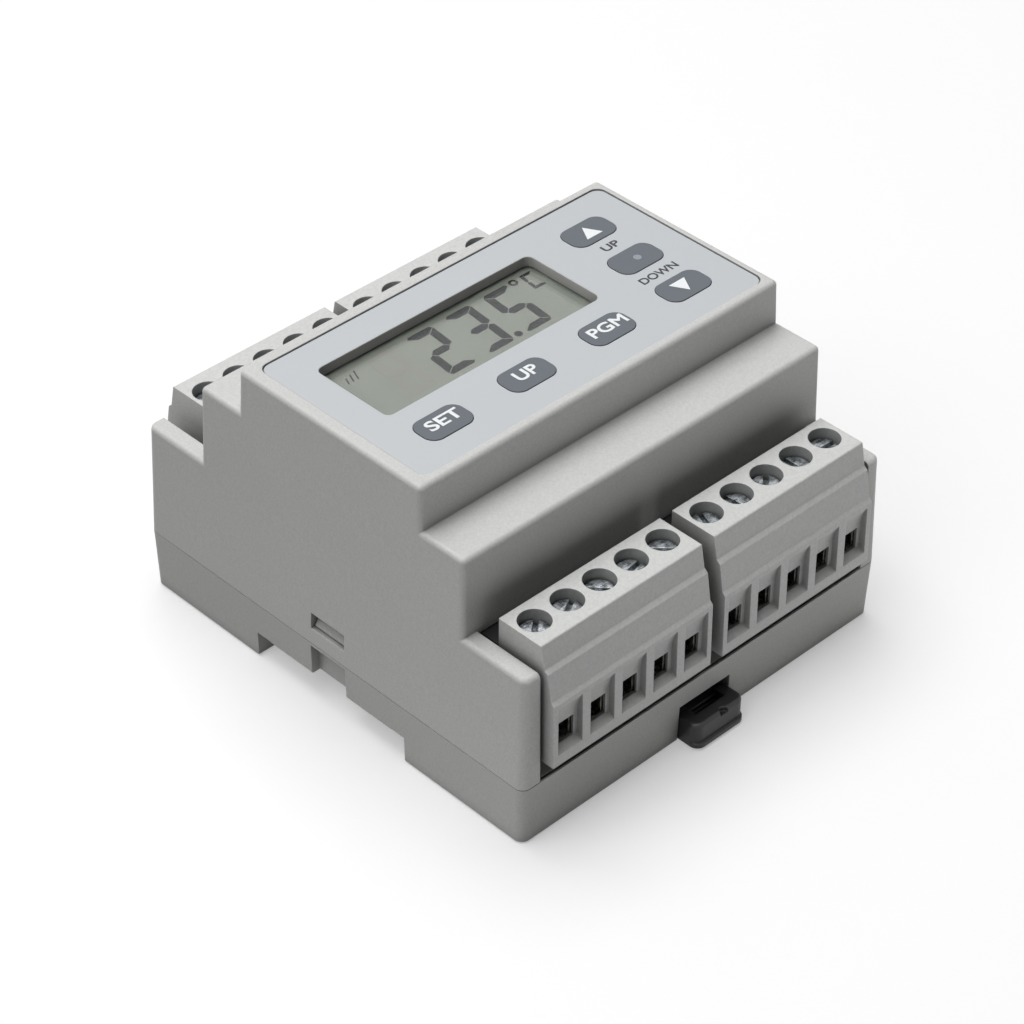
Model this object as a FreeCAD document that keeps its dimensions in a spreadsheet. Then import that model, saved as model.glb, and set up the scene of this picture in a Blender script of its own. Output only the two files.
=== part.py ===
import FreeCAD, Part
import math
import os
import Sketcher

# A temperature controller in a five-module housing for a 35 mm rail.
# X runs across the modules, +Y is the top of the lettering, +Z points out of the front panel.
# The origin is the middle of the pad that seats on the rail. Lengths are millimetres.

doc = FreeCAD.newDocument("temperature_controller")
sheet = doc.addObject("Spreadsheet::Sheet", "sizes")

DRIVING_SIZES = [
    # Housing shell
    ("housing_width", 87.5, "five rail modules of 17.5"),
    ("housing_length", 95.0, "across the rail, at the parting line"),
    ("channel_depth", 5.3, "feet to rail seat"),
    ("parting_height", 7.0, "rail seat to the joint between base and cover"),
    ("parting_gap", 0.15, "hairline between base and cover"),
    ("shelf_height", 30.2, "top of the cheeks beside the terminals"),
    ("step_height", 46.0, "top of the middle step"),
    ("rim_height", 54.7, "top of the rim round the panel"),
    ("step_length", 64.4, "middle step, across the rail"),
    ("top_length", 44.0, "panel end, across the rail"),
    ("riser_lean", 0.3, "mould draft of each riser"),
    ("side_lean", 1.6, "mould draft of each side wall, parting line to rim"),
    ("end_lean", 0.86, "mould draft of each end wall, parting line to rim"),
    ("base_lean", 0.35, "mould draft of the base, parting line to feet"),
    ("corner_radius", 1.7, "upright corners"),
    ("edge_radius", 0.95, "rounded outer edges of the cover"),
    ("wall", 2.0, "shell thickness"),
    ("top_wall", 1.55, "cover thickness under the panel"),
    ("base_floor", 3.0, "base thickness above the rail seat"),
    ("deck_thickness", 1.8, "base plate under each terminal bay"),
    ("deck_groove", 0.5, "groove between the deck and the end wall"),
    ("deck_groove_depth", 1.0, "groove between the deck and the end wall"),
    ("end_lip", 0.35, "end wall outside the groove"),
    ("sill_thickness", 1.0, "upright sill of the base below each header"),
    ("foot_bevel", 0.4, "outer edges of the feet"),
    # Rail and its catch
    ("rail_width", 35.0, "standard top-hat rail"),
    ("rail_flange", 1.0, "thickness of the rail"),
    ("rail_play", 0.2, "play between the rail and what grips it"),
    ("channel_width", 37.7, "opening between the feet"),
    ("seat_pad_width", 31.0, "raised pad that meets the rail"),
    ("seat_relief", 0.3, "channel roof above the pad"),
    ("hook_reach", 1.6, "fixed hook under the rail edge"),
    ("hook_thickness", 2.0, "fixed hook"),
    ("hook_width", 14.0, "each of the two fixed hooks"),
    ("hook_spacing", 50.0, "between the two fixed hooks"),
    ("foot_chamfer", 0.5, "lead-in at the channel mouth"),
    ("latch_width", 12.2, "sliding catch"),
    ("latch_play", 0.15, "play of the catch in its slot"),
    ("latch_travel", 4.0, "stroke of the catch"),
    ("latch_reach", 1.5, "nose of the catch under the rail edge"),
    ("latch_thickness", 3.4, "body of the catch"),
    ("tab_reach", 3.9, "finger tab outside the end wall"),
    ("tab_top", 0.3, "upper face of the finger tab"),
    ("tab_thickness", 5.0, "finger tab"),
    ("tab_corner", 1.8, "rounded corners of the finger tab"),
    ("tab_edge", 0.7, "rounded upper edge of the finger tab"),
    ("tab_lip", 0.4, "lip along the foot of the finger tab"),
    ("tab_lip_height", 0.9, "lip along the foot of the finger tab"),
    ("tab_slot_width", 7.2, "screwdriver slot in the tab"),
    ("tab_slot_length", 2.4, "screwdriver slot in the tab"),
    ("tab_slot_depth", 2.6, "screwdriver slot in the tab"),
    ("tab_notch", 1.9, "half-round notch in the tab's edge"),
    ("tab_notch_x", 0.75, "notch, right of the middle"),
    ("latch_mouth_top", 2.55, "top of the opening round the tab"),
    ("latch_mouth_depth", 3.5, "opening round the tab"),
    ("tongue_width", 1.3, "guide tongue on each side of the catch"),
    ("tongue_thickness", 0.9, "guide tongue"),
    ("tongue_length", 16.0, "guide tongue"),
    ("tongue_bottom", -3.3, "guide tongue"),
    ("tongue_front", 40.0, "housing centre to the front of the tongue"),
    # Snap joint between base and cover
    ("snap_width", 8.4, "window in each side wall of the cover"),
    ("snap_bottom", 10.4, "lower edge of the window"),
    ("snap_top", 13.8, "upper edge of the window"),
    ("snap_depth", 1.6, "wedge on the snap tongue"),
    ("snap_play", 0.25, "clearance round the snap tongue"),
    ("snap_thickness", 1.7, "snap tongue"),
    ("snap_tip", 0.9, "tongue above the window"),
    ("relief_width", 8.8, "recess in the base below the window"),
    ("relief_depth", 2.0, "recess in the base below the window"),
    ("relief_top", 6.5, "top of the recess"),
    # Terminal bays, plug-in blocks and their clamps
    ("bay_width", 79.4, "between the cheeks"),
    ("poles", 5, "ways in each block"),
    ("front_pitch", 7.4, "pole spacing of the front blocks"),
    ("rear_pitch", 7.0, "pole spacing of the rear blocks"),
    ("block_margin", 0.15, "block width beyond five pitches"),
    ("front_block_gap", 3.0, "between the two front blocks"),
    ("rear_block_gap", 2.6, "between the two rear blocks"),
    ("rear_outset", 1.4, "rear blocks stand this much further out"),
    ("block_back", 36.5, "housing centre to the back of a block"),
    ("block_top", 34.8, "upper face of a block"),
    ("block_bottom", 10.6, "underside of a block"),
    ("block_face", 49.55, "housing centre to the foot of the wire face"),
    ("face_lean", 0.25, "slope of the wire face"),
    ("lower_ledge", 0.65, "step at the lower ridge"),
    ("middle_lean", 0.9, "slope of the face between the ridges"),
    ("upper_ledge", 0.8, "step at the upper ridge"),
    ("brow_lean", 0.85, "slope of the face above the ridges"),
    ("lower_ridge", 24.4, "height of the lower ridge"),
    ("upper_ridge", 30.35, "height of the upper ridge"),
    ("ridge_bevel", 0.65, "bevel on each ridge"),
    ("ridge_radius", 0.3, "rounded long edges of a block's wire face"),
    ("nose_depth", 3.2, "part of a block inside its header"),
    ("nose_inset", 1.5, "nose narrower than the block, each side"),
    ("nose_bottom", 11.0, "underside of the nose"),
    ("nose_top", 27.8, "upper side of the nose"),
    ("screw_row", 40.8, "housing centre to the screw axes"),
    ("screw_hole", 5.8, "driver hole diameter"),
    ("head_diameter", 5.2, "terminal screw head"),
    ("head_top", 32.7, "upper face of the screw head"),
    ("head_height", 2.2, "terminal screw head"),
    ("head_play", 0.05, "under the screw head"),
    ("slot_width", 0.95, "screwdriver slot"),
    ("slot_depth", 1.0, "screwdriver slot"),
    ("shank_diameter", 2.9, "terminal screw shank"),
    ("shank_bottom", 20.2, "lower end of the shank"),
    ("thread_play", 0.05, "radial play of the shank in the cage"),
    ("neck_hole", 3.4, "hole below the screw head"),
    ("window_width", 5.6, "wire opening"),
    ("window_top", 22.9, "wire opening"),
    ("window_bottom", 12.9, "wire opening"),
    ("window_depth", 1.5, "wire funnel"),
    ("funnel_radius", 8.0, "scoop above the wire"),
    ("throat_width", 4.1, "inner end of the wire funnel"),
    ("throat_top", 18.2, "inner end of the wire funnel"),
    ("throat_bottom", 13.9, "inner end of the wire funnel"),
    ("cage_width", 4.4, "clamp cage"),
    ("cage_length", 9.3, "clamp cage, along the wire"),
    ("cage_bottom", 13.2, "clamp cage, open"),
    ("cage_wall", 0.6, "clamp cage"),
    ("cage_opening", 6.2, "height inside the cage"),
    ("cage_nut", 2.4, "threaded top of the cage"),
    ("cage_play", 0.15, "clearance round the cage"),
    ("cage_travel", 3.4, "rise of the cage"),
    ("cage_corner", 1.0, "rounded lower corners of the cage"),
    ("bar_width", 2.4, "contact bar through the cage"),
    ("bar_thickness", 0.8, "contact bar through the cage"),
    ("contact_height", 18.9, "middle of the contact bars and pins"),
    ("throat_wall", 0.55, "wall between funnel and cage"),
    # Headers
    ("header_wall", 1.2, "shroud"),
    ("header_play", 0.2, "clearance round the nose, and behind the block"),
    ("header_depth", 10.3, "shroud, along the plugging direction"),
    ("header_gap", 0.3, "clearance of the shroud in the cover"),
    ("pin_size", 1.0, "square contact pin"),
    ("pin_play", 0.3, "clearance round a pin in the nose"),
    ("pin_length", 2.8, "free length of a pin"),
    # Boards
    ("board_thickness", 1.6, "both boards"),
    ("board_height", 8.0, "underside of the main board"),
    ("board_width", 78.0, "main board"),
    ("board_length", 59.0, "main board"),
    ("post_diameter", 5.0, "board posts"),
    ("post_span_x", 68.0, "between the posts of the base"),
    ("post_span_y", 40.0, "between the posts of the base"),
    ("pin_post", 2.4, "locating pin on each post"),
    ("pin_proud", 1.0, "locating pin above the board"),
    ("post_hole", 2.8, "hole for the locating pin"),
    ("transformer_width", 30.0, "transformer on the main board"),
    ("transformer_length", 26.0, "transformer on the main board"),
    ("transformer_height", 22.0, "transformer on the main board"),
    ("capacitor_diameter", 10.0, "capacitor on the main board"),
    ("capacitor_height", 16.0, "capacitor on the main board"),
    ("capacitor_x", -19.0, "middle of the two capacitors"),
    ("part_gap", 1.2, "between the parts on the main board, and to its edge"),
    ("relay_width", 10.0, "one relay"),
    ("relay_length", 24.0, "one relay"),
    ("relay_height", 15.5, "one relay"),
    ("relay_pitch", 12.0, "between relays"),
    ("relays", 3, "relay outputs"),
    ("display_board_width", 78.6, "board behind the panel"),
    ("display_board_length", 38.0, "board behind the panel"),
    ("boss_inset", 2.3, "cover bosses, in from the board's corners"),
    ("boss_diameter", 3.8, "cover bosses that hold the display board"),
    ("stake_diameter", 1.6, "riveted end of each boss"),
    ("stake_hole", 2.0, "hole for the riveted end"),
    ("stake_proud", 0.8, "riveted end below the board"),
    ("strip_width", 2.5, "pin strip between the boards"),
    ("strip_length", 20.0, "pin strip between the boards"),
    ("strip_x", 36.2, "pin strip between the boards"),
    # Panel, display and keys
    ("panel_width", 79.9, "front panel sheet"),
    ("panel_length", 40.1, "front panel sheet"),
    ("panel_x", 0.55, "middle of the panel sheet"),
    ("panel_corner", 2.0, "front panel sheet"),
    ("panel_thickness", 0.4, "front panel sheet"),
    ("panel_sink", 0.25, "panel below the rim"),
    ("panel_play", 0.2, "groove round the panel"),
    ("view_width", 49.45, "display opening"),
    ("view_length", 17.95, "display opening"),
    ("view_x", -8.125, "middle of the display opening"),
    ("view_y", 4.6, "middle of the display opening"),
    ("view_corner", 1.4, "display opening"),
    ("lens_margin", 1.5, "lens beyond the opening"),
    ("lens_thickness", 0.8, "display lens"),
    ("lens_gap", 0.1, "lens to display"),
    ("lcd_margin", 2.0, "display glass beyond the opening"),
    ("lcd_thickness", 2.9, "display glass with its frame"),
    ("lcd_step", 0.8, "frame beyond the display glass"),
    ("key_width", 10.2, "key"),
    ("key_length", 6.2, "key"),
    ("key_corner", 2.3, "key"),
    ("key_proud", 0.12, "key above the panel"),
    ("key_play", 0.12, "gap round a key"),
    ("key_flange", 0.7, "flange beyond the key"),
    ("flange_thickness", 0.8, "key flange"),
    ("flange_play", 0.05, "flange below the panel"),
    ("key_travel", 0.4, "key stroke"),
    ("key_stem", 3.4, "stem under the key"),
    ("stem_length", 0.5, "stem under the key"),
    ("stem_gap", 0.1, "stem above its switch, key pressed"),
    ("switch_size", 6.0, "push switch body"),
    ("plunger_diameter", 3.0, "push switch plunger"),
    ("plunger_height", 0.6, "push switch plunger"),
    ("key_row", -11.6, "middle of the bottom row"),
    ("row_left", -27.3, "first key of the bottom row"),
    ("row_pitch", 18.97, "bottom row"),
    ("key_column", 29.25, "middle of the right column"),
    ("column_top", 11.25, "upper key of the right column"),
    ("column_pitch", 11.45, "right column"),
]

for row, (alias, number, meaning) in enumerate(DRIVING_SIZES, 1):
    sheet.set(f"A{row}", alias)
    sheet.set(f"B{row}", str(number))
    sheet.set(f"C{row}", meaning)
    sheet.setAlias(f"B{row}", alias)
doc.recompute()


class Size:
    """A length with its number and the sheet formula that gives it."""

    def __init__(self, number, formula):
        self.number = number
        self.formula = formula

    def joined(self, sign, other, number):
        return Size(number, f"({self.formula} {sign} {as_size(other).formula})")

    def __add__(self, other):
        return self.joined("+", other, self.number + as_size(other).number)

    def __sub__(self, other):
        return self.joined("-", other, self.number - as_size(other).number)

    def __mul__(self, other):
        return self.joined("*", other, self.number * as_size(other).number)

    def __truediv__(self, other):
        return self.joined("/", other, self.number / as_size(other).number)

    def __rmul__(self, other):
        return as_size(other) * self

    def __neg__(self):
        return self * -1


def as_size(value):
    return value if isinstance(value, Size) else Size(float(value), f"({value})")


class Sheet:
    """Reads any size of the sheet by its alias."""

    def __getattr__(self, alias):
        return Size(float(sheet.get(alias)), f"sizes.{alias}")


s = Sheet()


def bind(item, **formulas):
    for name, value in formulas.items():
        item.setExpression(name.replace("__", "."), as_size(value).formula)


def move(item, x=0, y=0, z=0):
    bind(item, Placement__Base__x=x, Placement__Base__y=y, Placement__Base__z=z)


def new_body(label):
    body = doc.addObject("PartDesign::Body", label)
    body.Label = label
    return body


def block(body, name, kind, x, y, z):
    """An additive or subtractive box between two limits on each axis."""
    box = body.newObject(f"PartDesign::{kind}Box", name)
    bind(box, Length=x[1] - x[0], Width=y[1] - y[0], Height=z[1] - z[0])
    move(box, x[0], y[0], z[0])
    return box


def round_bar(body, name, kind, diameter, x, y, z):
    """An additive or subtractive upright cylinder between two heights."""
    bar = body.newObject(f"PartDesign::{kind}Cylinder", name)
    bind(bar, Radius=diameter / 2, Height=z[1] - z[0])
    move(bar, x, y, z[0])
    return bar


def sketch_on(body, name, plane, height=0):
    sketch = body.newObject("Sketcher::SketchObject", name)
    support = [item for item in body.Origin.OriginFeatures if item.Role == plane][0]
    sketch.AttachmentSupport = [(support, "")]
    sketch.MapMode = "FlatFace"
    bind(sketch, AttachmentOffset__Base__z=height)
    return sketch


def hold(sketch, kind, places, name, value):
    """Adds one driving dimension and binds it to the sheet."""
    value = as_size(value)
    index = sketch.addConstraint(Sketcher.Constraint(kind, *places, value.number))
    sketch.renameConstraint(index, name)
    bind(sketch, **{f"Constraints.{name}": value})


def outline(body, name, plane, points, height=0):
    """A closed outline. A point with a third value is reached by an arc of that radius,
    which bulges to the left of the way from the point before, or to the right if negative."""
    sketch = sketch_on(body, name, plane, height)
    corners = [(as_size(point[0]), as_size(point[1])) for point in points]
    flat = [FreeCAD.Vector(u.number, v.number, 0) for u, v in corners]
    count = len(points)
    starts = []
    ends = []
    for index in range(count):
        begin = flat[index]
        finish = flat[(index + 1) % count]
        target = points[(index + 1) % count]
        if len(target) < 3:
            sketch.addGeometry(Part.LineSegment(begin, finish))
            starts.append(1)
            ends.append(2)
            continue
        radius = as_size(target[2])
        along = finish - begin
        left = FreeCAD.Vector(-along.y, along.x, 0)
        left.normalize()
        side = math.copysign(1, radius.number)
        swing = abs(radius.number)
        rise = swing - math.sqrt(max(swing * swing - along.Length ** 2 / 4, 0))
        middle = (begin + finish) * 0.5 + left * (rise * side)
        sketch.addGeometry(Part.Arc(begin, middle, finish))
        hold(sketch, "Radius", (index,), f"radius_{index}", radius * side)
        counterclockwise = side < 0
        starts.append(1 if counterclockwise else 2)
        ends.append(2 if counterclockwise else 1)
    for index in range(count):
        after = (index + 1) % count
        sketch.addConstraint(Sketcher.Constraint("Coincident", index, ends[index], after, starts[after]))
    for index, (u, v) in enumerate(corners):
        hold(sketch, "DistanceX", (-1, 1, index, starts[index]), f"across_{index}", u)
        hold(sketch, "DistanceY", (-1, 1, index, starts[index]), f"up_{index}", v)
    return sketch


def rounded_rectangle(body, name, x, y, radius, height=0):
    """A rectangle with round corners, flat, between two limits on each axis."""
    points = [
        (x[0] + radius, y[0]), (x[1] - radius, y[0]), (x[1], y[0] + radius, -radius),
        (x[1], y[1] - radius), (x[1] - radius, y[1], -radius), (x[0] + radius, y[1]),
        (x[0], y[1] - radius, -radius), (x[0], y[0] + radius),
    ]
    points[0] = (*points[0], -radius)
    return outline(body, name, "XY_Plane", points, height)


def pad(body, name, sketch, length):
    """Thickens a sketch upwards, along its plane's normal."""
    solid = body.newObject("PartDesign::Pad", name)
    solid.Profile = sketch
    bind(solid, Length=length)
    return solid


def pad_across(body, name, sketch, length):
    """Thickens a sketch by half the length on each side of its plane."""
    solid = pad(body, name, sketch, length)
    solid.SideType = "Symmetric"
    return solid


def pocket_up(body, name, sketch, length):
    """Cuts from a sketch upwards."""
    cut = body.newObject("PartDesign::Pocket", name)
    cut.Profile = sketch
    cut.Reversed = True
    bind(cut, Length=length)
    return cut


def pocket_across(body, name, sketch, length):
    """Cuts half the length on each side of the sketch."""
    cut = body.newObject("PartDesign::Pocket", name)
    cut.Profile = sketch
    cut.SideType = "Symmetric"
    bind(cut, Length=length)
    return cut


def loft(body, name, kind, first, *others):
    """A straight-sided solid from one outline through the others."""
    solid = body.newObject(f"PartDesign::{kind}Loft", name)
    solid.Profile = first
    solid.Sections = list(others)
    solid.Ruled = True
    return solid


def repeat(body, name, feature, axis, step, count):
    """Repeats one feature in a row."""
    pattern = body.newObject("PartDesign::LinearPattern", name)
    pattern.Originals = [feature]
    pattern.Direction = ([item for item in body.Origin.OriginFeatures if item.Role == axis][0], [""])
    pattern.Mode = "Spacing"
    bind(pattern, Offset=step, Occurrences=count)
    body.Tip = pattern
    return pattern


def both(half):
    """Limits that lie the same way on each side of the middle."""
    return (-half, half)


def round_edges(body, name, radius, wanted):
    """Rounds the edges of the body's last feature that the test picks out."""
    doc.recompute()
    last = body.Tip
    names = [f"Edge{i}" for i, edge in enumerate(last.Shape.Edges, 1) if wanted(edge)]
    fillet = body.newObject("PartDesign::Fillet", name)
    fillet.Base = (last, names)
    bind(fillet, Radius=radius)
    return fillet


# Heights and reaches that several pieces share
half_width = s.housing_width / 2
half_length = s.housing_length / 2
feet = -s.channel_depth
cover_bottom = s.parting_height + s.parting_gap
step_reach = s.step_length / 2
top_reach = s.top_length / 2
bay_back = step_reach + s.riser_lean
bay_half = s.bay_width / 2
board_top = s.board_height + s.board_thickness
panel_top = s.rim_height - s.panel_sink
panel_bottom = panel_top - s.panel_thickness
cover_roof = panel_bottom - s.top_wall
lens_bottom = cover_roof - s.lens_thickness
lcd_top = lens_bottom - s.lens_gap
lcd_bottom = lcd_top - s.lcd_thickness
display_board_bottom = lcd_bottom - s.board_thickness
latch_half = s.latch_width / 2
rail_edge = s.rail_width / 2
channel_half = s.channel_width / 2
grip_top = -(s.rail_flange + s.rail_play)
panel_left = s.panel_x - s.panel_width / 2
panel_right = s.panel_x + s.panel_width / 2
view_x = (s.view_x - s.view_width / 2, s.view_x + s.view_width / 2)
view_y = (s.view_y - s.view_length / 2, s.view_y + s.view_length / 2)
pin_row_x = s.post_span_x / 2
pin_row_y = s.post_span_y / 2
CUT_PAST = 1.0
base_inside_x = half_width - s.base_lean - s.wall
base_inside_y = half_length - s.base_lean - s.wall
deck_edge = bay_back - s.wall / 2
deck_underside = s.parting_height - s.deck_thickness
cage_top = s.cage_bottom + s.cage_wall + s.cage_opening + s.cage_nut
header_top = s.nose_top + s.header_play + s.header_wall
header_mouth = s.block_back - s.header_play
contact = (s.contact_height - s.bar_thickness / 2, s.contact_height + s.bar_thickness / 2)

# Each terminal block: name, pole spacing, gap to its neighbour, side across X, end along Y, outset
BLOCKS = [
    ("front_left", s.front_pitch, s.front_block_gap, -1, -1, 0),
    ("front_right", s.front_pitch, s.front_block_gap, 1, -1, 0),
    ("rear_left", s.rear_pitch, s.rear_block_gap, -1, 1, s.rear_outset),
    ("rear_right", s.rear_pitch, s.rear_block_gap, 1, 1, s.rear_outset),
]
POLES = int(s.poles.number)

# Each key: name and place
KEYS = [
    ("key_set", s.row_left, s.key_row),
    ("key_up", s.row_left + s.row_pitch, s.key_row),
    ("key_pgm", s.row_left + s.row_pitch * 2, s.key_row),
    ("key_arrow_up", s.key_column, s.column_top),
    ("key_blank", s.key_column, s.column_top - s.column_pitch),
    ("key_arrow_down", s.key_column, s.column_top - s.column_pitch * 2),
]


def block_width(pitch):
    return pitch * s.poles + s.block_margin


def block_middle(pitch, gap, side):
    return (block_width(pitch) / 2 + gap / 2) * side


def header_half(pitch):
    return block_width(pitch) / 2 - s.nose_inset + s.header_play + s.header_wall


def cover_side(height):
    """Half-width over the cover's drafted sides at a height."""
    rise = (height - cover_bottom) / (s.rim_height - cover_bottom)
    return half_width - s.side_lean * rise


def towards(end, near, far):
    """Limits on Y between two reaches, at the front end (-1) or the rear end (1)."""
    return (near, far) if end > 0 else (-far, -near)


# Base: lower shell, with the rail channel, two fixed hooks, the slot for the catch and the snap tongues
base = new_body("base")
foot_inset = s.base_lean + s.foot_bevel
foot_outline = rounded_rectangle(
    base, "foot_outline", both(half_width - foot_inset), both(half_length - foot_inset),
    s.corner_radius, feet)
bevel_outline = rounded_rectangle(
    base, "bevel_outline", both(half_width - s.base_lean), both(half_length - s.base_lean),
    s.corner_radius, feet + s.foot_bevel)
joint_outline = rounded_rectangle(
    base, "joint_outline", both(half_width), both(half_length), s.corner_radius, s.parting_height)
loft(base, "shell", "Additive", foot_outline, bevel_outline, joint_outline)

block(base, "board_well", "Subtractive", both(base_inside_x), both(deck_edge),
      (s.base_floor, s.parting_height + CUT_PAST))
block(base, "rear_well", "Subtractive", both(base_inside_x),
      (channel_half + s.wall, base_inside_y), (feet + s.wall, deck_underside))
block(base, "front_well", "Subtractive", both(base_inside_x),
      (-(half_length - s.latch_mouth_depth - s.wall), -(channel_half + s.wall)),
      (s.base_floor, deck_underside))
slot_half = latch_half + s.latch_play
groove_half = slot_half + s.tongue_width
for side, name in ((-1, "left"), (1, "right")):
    reach = sorted([(groove_half + s.wall) * side, base_inside_x * side], key=lambda size: size.number)
    block(base, f"front_well_{name}", "Subtractive", reach,
          (-base_inside_y, -(channel_half + s.wall)), (feet + s.wall, deck_underside))

for end, name in ((-1, "front"), (1, "rear")):
    groove = towards(end, half_length - s.end_lip - s.deck_groove, half_length - s.end_lip)
    block(base, f"{name}_groove", "Subtractive", both(bay_half), groove,
          (s.parting_height - s.deck_groove_depth, s.parting_height + CUT_PAST))

channel = outline(base, "channel_section", "YZ_Plane", [
    (-channel_half - s.foot_chamfer - CUT_PAST, feet - CUT_PAST),
    (-channel_half - s.foot_chamfer, feet), (-channel_half, feet + s.foot_chamfer),
    (-channel_half, s.seat_relief), (channel_half, s.seat_relief),
    (channel_half, feet + s.foot_chamfer), (channel_half + s.foot_chamfer, feet),
    (channel_half + s.foot_chamfer + CUT_PAST, feet - CUT_PAST),
])
pocket_across(base, "channel", channel, s.housing_width + 2 * CUT_PAST)
block(base, "seat_pad", "Additive", both(half_width - s.base_lean), both(s.seat_pad_width / 2),
      (0, s.seat_relief + CUT_PAST))

for name, pitch, gap, side, end, outset in BLOCKS:
    middle = block_middle(pitch, gap, side)
    shroud = header_half(pitch)
    block(base, f"sill_{name}", "Additive", (middle - shroud, middle + shroud),
          towards(end, deck_edge, deck_edge + s.sill_thickness),
          (s.parting_height - CUT_PAST, board_top - s.header_play))

hook_tip = rail_edge - s.hook_reach
hook_bottom = grip_top - s.hook_thickness
for side, name in ((-1, "left"), (1, "right")):
    hook = outline(base, f"hook_section_{name}", "YZ_Plane", [
        (channel_half + CUT_PAST, s.seat_relief), (rail_edge + s.rail_play, s.seat_relief),
        (rail_edge + s.rail_play, grip_top), (hook_tip, grip_top),
        (hook_tip, grip_top - s.hook_thickness / 2),
        (hook_tip + s.hook_thickness / 2, hook_bottom), (channel_half + CUT_PAST, hook_bottom),
    ], s.hook_spacing / 2 * side)
    pad_across(base, f"hook_{name}", hook, s.hook_width)

block(base, "latch_slot", "Subtractive", both(slot_half),
      (-(half_length + CUT_PAST), -(channel_half - CUT_PAST)),
      (feet - CUT_PAST, grip_top + s.latch_play))
block(base, "latch_mouth", "Subtractive", both(slot_half),
      (-(half_length + CUT_PAST), -(half_length - s.latch_mouth_depth)),
      (feet - CUT_PAST, s.latch_mouth_top))
tongue_rear = s.tongue_front - s.tongue_length
block(base, "tongue_groove", "Subtractive", both(groove_half),
      (-(s.tongue_front + s.latch_travel + 2 * s.rail_play), -(tongue_rear - s.rail_play)),
      (s.tongue_bottom - s.latch_play, s.tongue_bottom + s.tongue_thickness + s.latch_play))

for row, sign_y in enumerate((-1, 1)):
    for column, sign_x in enumerate((-1, 1)):
        round_bar(base, f"post_{row}{column}", "Additive", s.post_diameter,
                  pin_row_x * sign_x, pin_row_y * sign_y, (s.base_floor - CUT_PAST, s.board_height))
        round_bar(base, f"pin_{row}{column}", "Additive", s.pin_post,
                  pin_row_x * sign_x, pin_row_y * sign_y,
                  (s.board_height - CUT_PAST, board_top + s.pin_proud))

snap_face = cover_side(s.snap_top) - s.wall - s.snap_play
snap_back = snap_face - s.snap_thickness
for side, name in ((-1, "left"), (1, "right")):
    root = sorted([snap_back * side, (half_width - s.relief_depth) * side], key=lambda size: size.number)
    block(base, f"snap_root_{name}", "Additive", root, both(s.relief_width / 2),
          (s.base_floor - CUT_PAST, s.relief_top))
    tongue = sorted([snap_back * side, snap_face * side], key=lambda size: size.number)
    tongue_half = s.snap_width / 2 - s.snap_play
    block(base, f"snap_tongue_{name}", "Additive", tongue, both(tongue_half),
          (s.base_floor - CUT_PAST, s.snap_top + s.snap_tip))
    wedge = outline(base, f"wedge_section_{name}", "XZ_Plane", [
        (snap_back * side, s.snap_bottom + s.snap_play),
        ((snap_face + s.snap_depth) * side, s.snap_bottom + s.snap_play),
        ((snap_face + s.snap_depth) * side, s.snap_bottom + 2 * s.snap_play),
        (snap_face * side, s.snap_top - s.snap_play), (snap_back * side, s.snap_top - s.snap_play),
    ])
    pad_across(base, f"snap_wedge_{name}", wedge, 2 * tongue_half)
    relief = sorted([(half_width - s.relief_depth) * side, (half_width + CUT_PAST) * side],
                    key=lambda size: size.number)
    block(base, f"snap_relief_{name}", "Subtractive", relief, both(s.relief_width / 2),
          (0, s.relief_top))

# Cover: stepped upper shell. Cheeks stand at both ends of the terminal bays, and the block
# headers come through openings in its risers
cover = new_body("cover")
low_outline = rounded_rectangle(
    cover, "low_outline", both(half_width), both(half_length), s.corner_radius, cover_bottom)
rim_outline = rounded_rectangle(
    cover, "rim_outline", both(half_width - s.side_lean), both(half_length - s.end_lean),
    s.corner_radius, s.rim_height)
loft(cover, "cover_shell", "Additive", low_outline, rim_outline)
for end, name in ((-1, "front"), (1, "rear")):
    beyond = (half_length + CUT_PAST) * end
    steps = outline(cover, f"step_section_{name}", "YZ_Plane", [
        (bay_back * end, s.shelf_height), (beyond, s.shelf_height),
        (beyond, s.rim_height + CUT_PAST), (top_reach * end, s.rim_height + CUT_PAST),
        ((top_reach + s.riser_lean) * end, s.step_height), (step_reach * end, s.step_height),
    ])
    pocket_across(cover, f"steps_{name}", steps, s.housing_width + 2 * CUT_PAST)


def outer_edge(edge):
    """Outer edges of the stepped cover, without its foot, inner corners and upright corners."""
    box = edge.BoundBox
    middle = box.Center
    reach = abs(middle.y)
    if box.ZMax < cover_bottom.number + CUT_PAST:
        return False
    if box.ZLength > CUT_PAST:
        return reach < bay_back.number + CUT_PAST
    at_shelf = abs(middle.z - s.shelf_height.number) < CUT_PAST
    at_step = abs(middle.z - s.step_height.number) < CUT_PAST
    shelf_corner = at_shelf and abs(reach - bay_back.number) < CUT_PAST and box.YLength < CUT_PAST
    step_corner = at_step and abs(reach - top_reach.number) < CUT_PAST and box.YLength < CUT_PAST
    return not shelf_corner and not step_corner


round_edges(cover, "cover_rounding", s.edge_radius, outer_edge)

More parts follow.
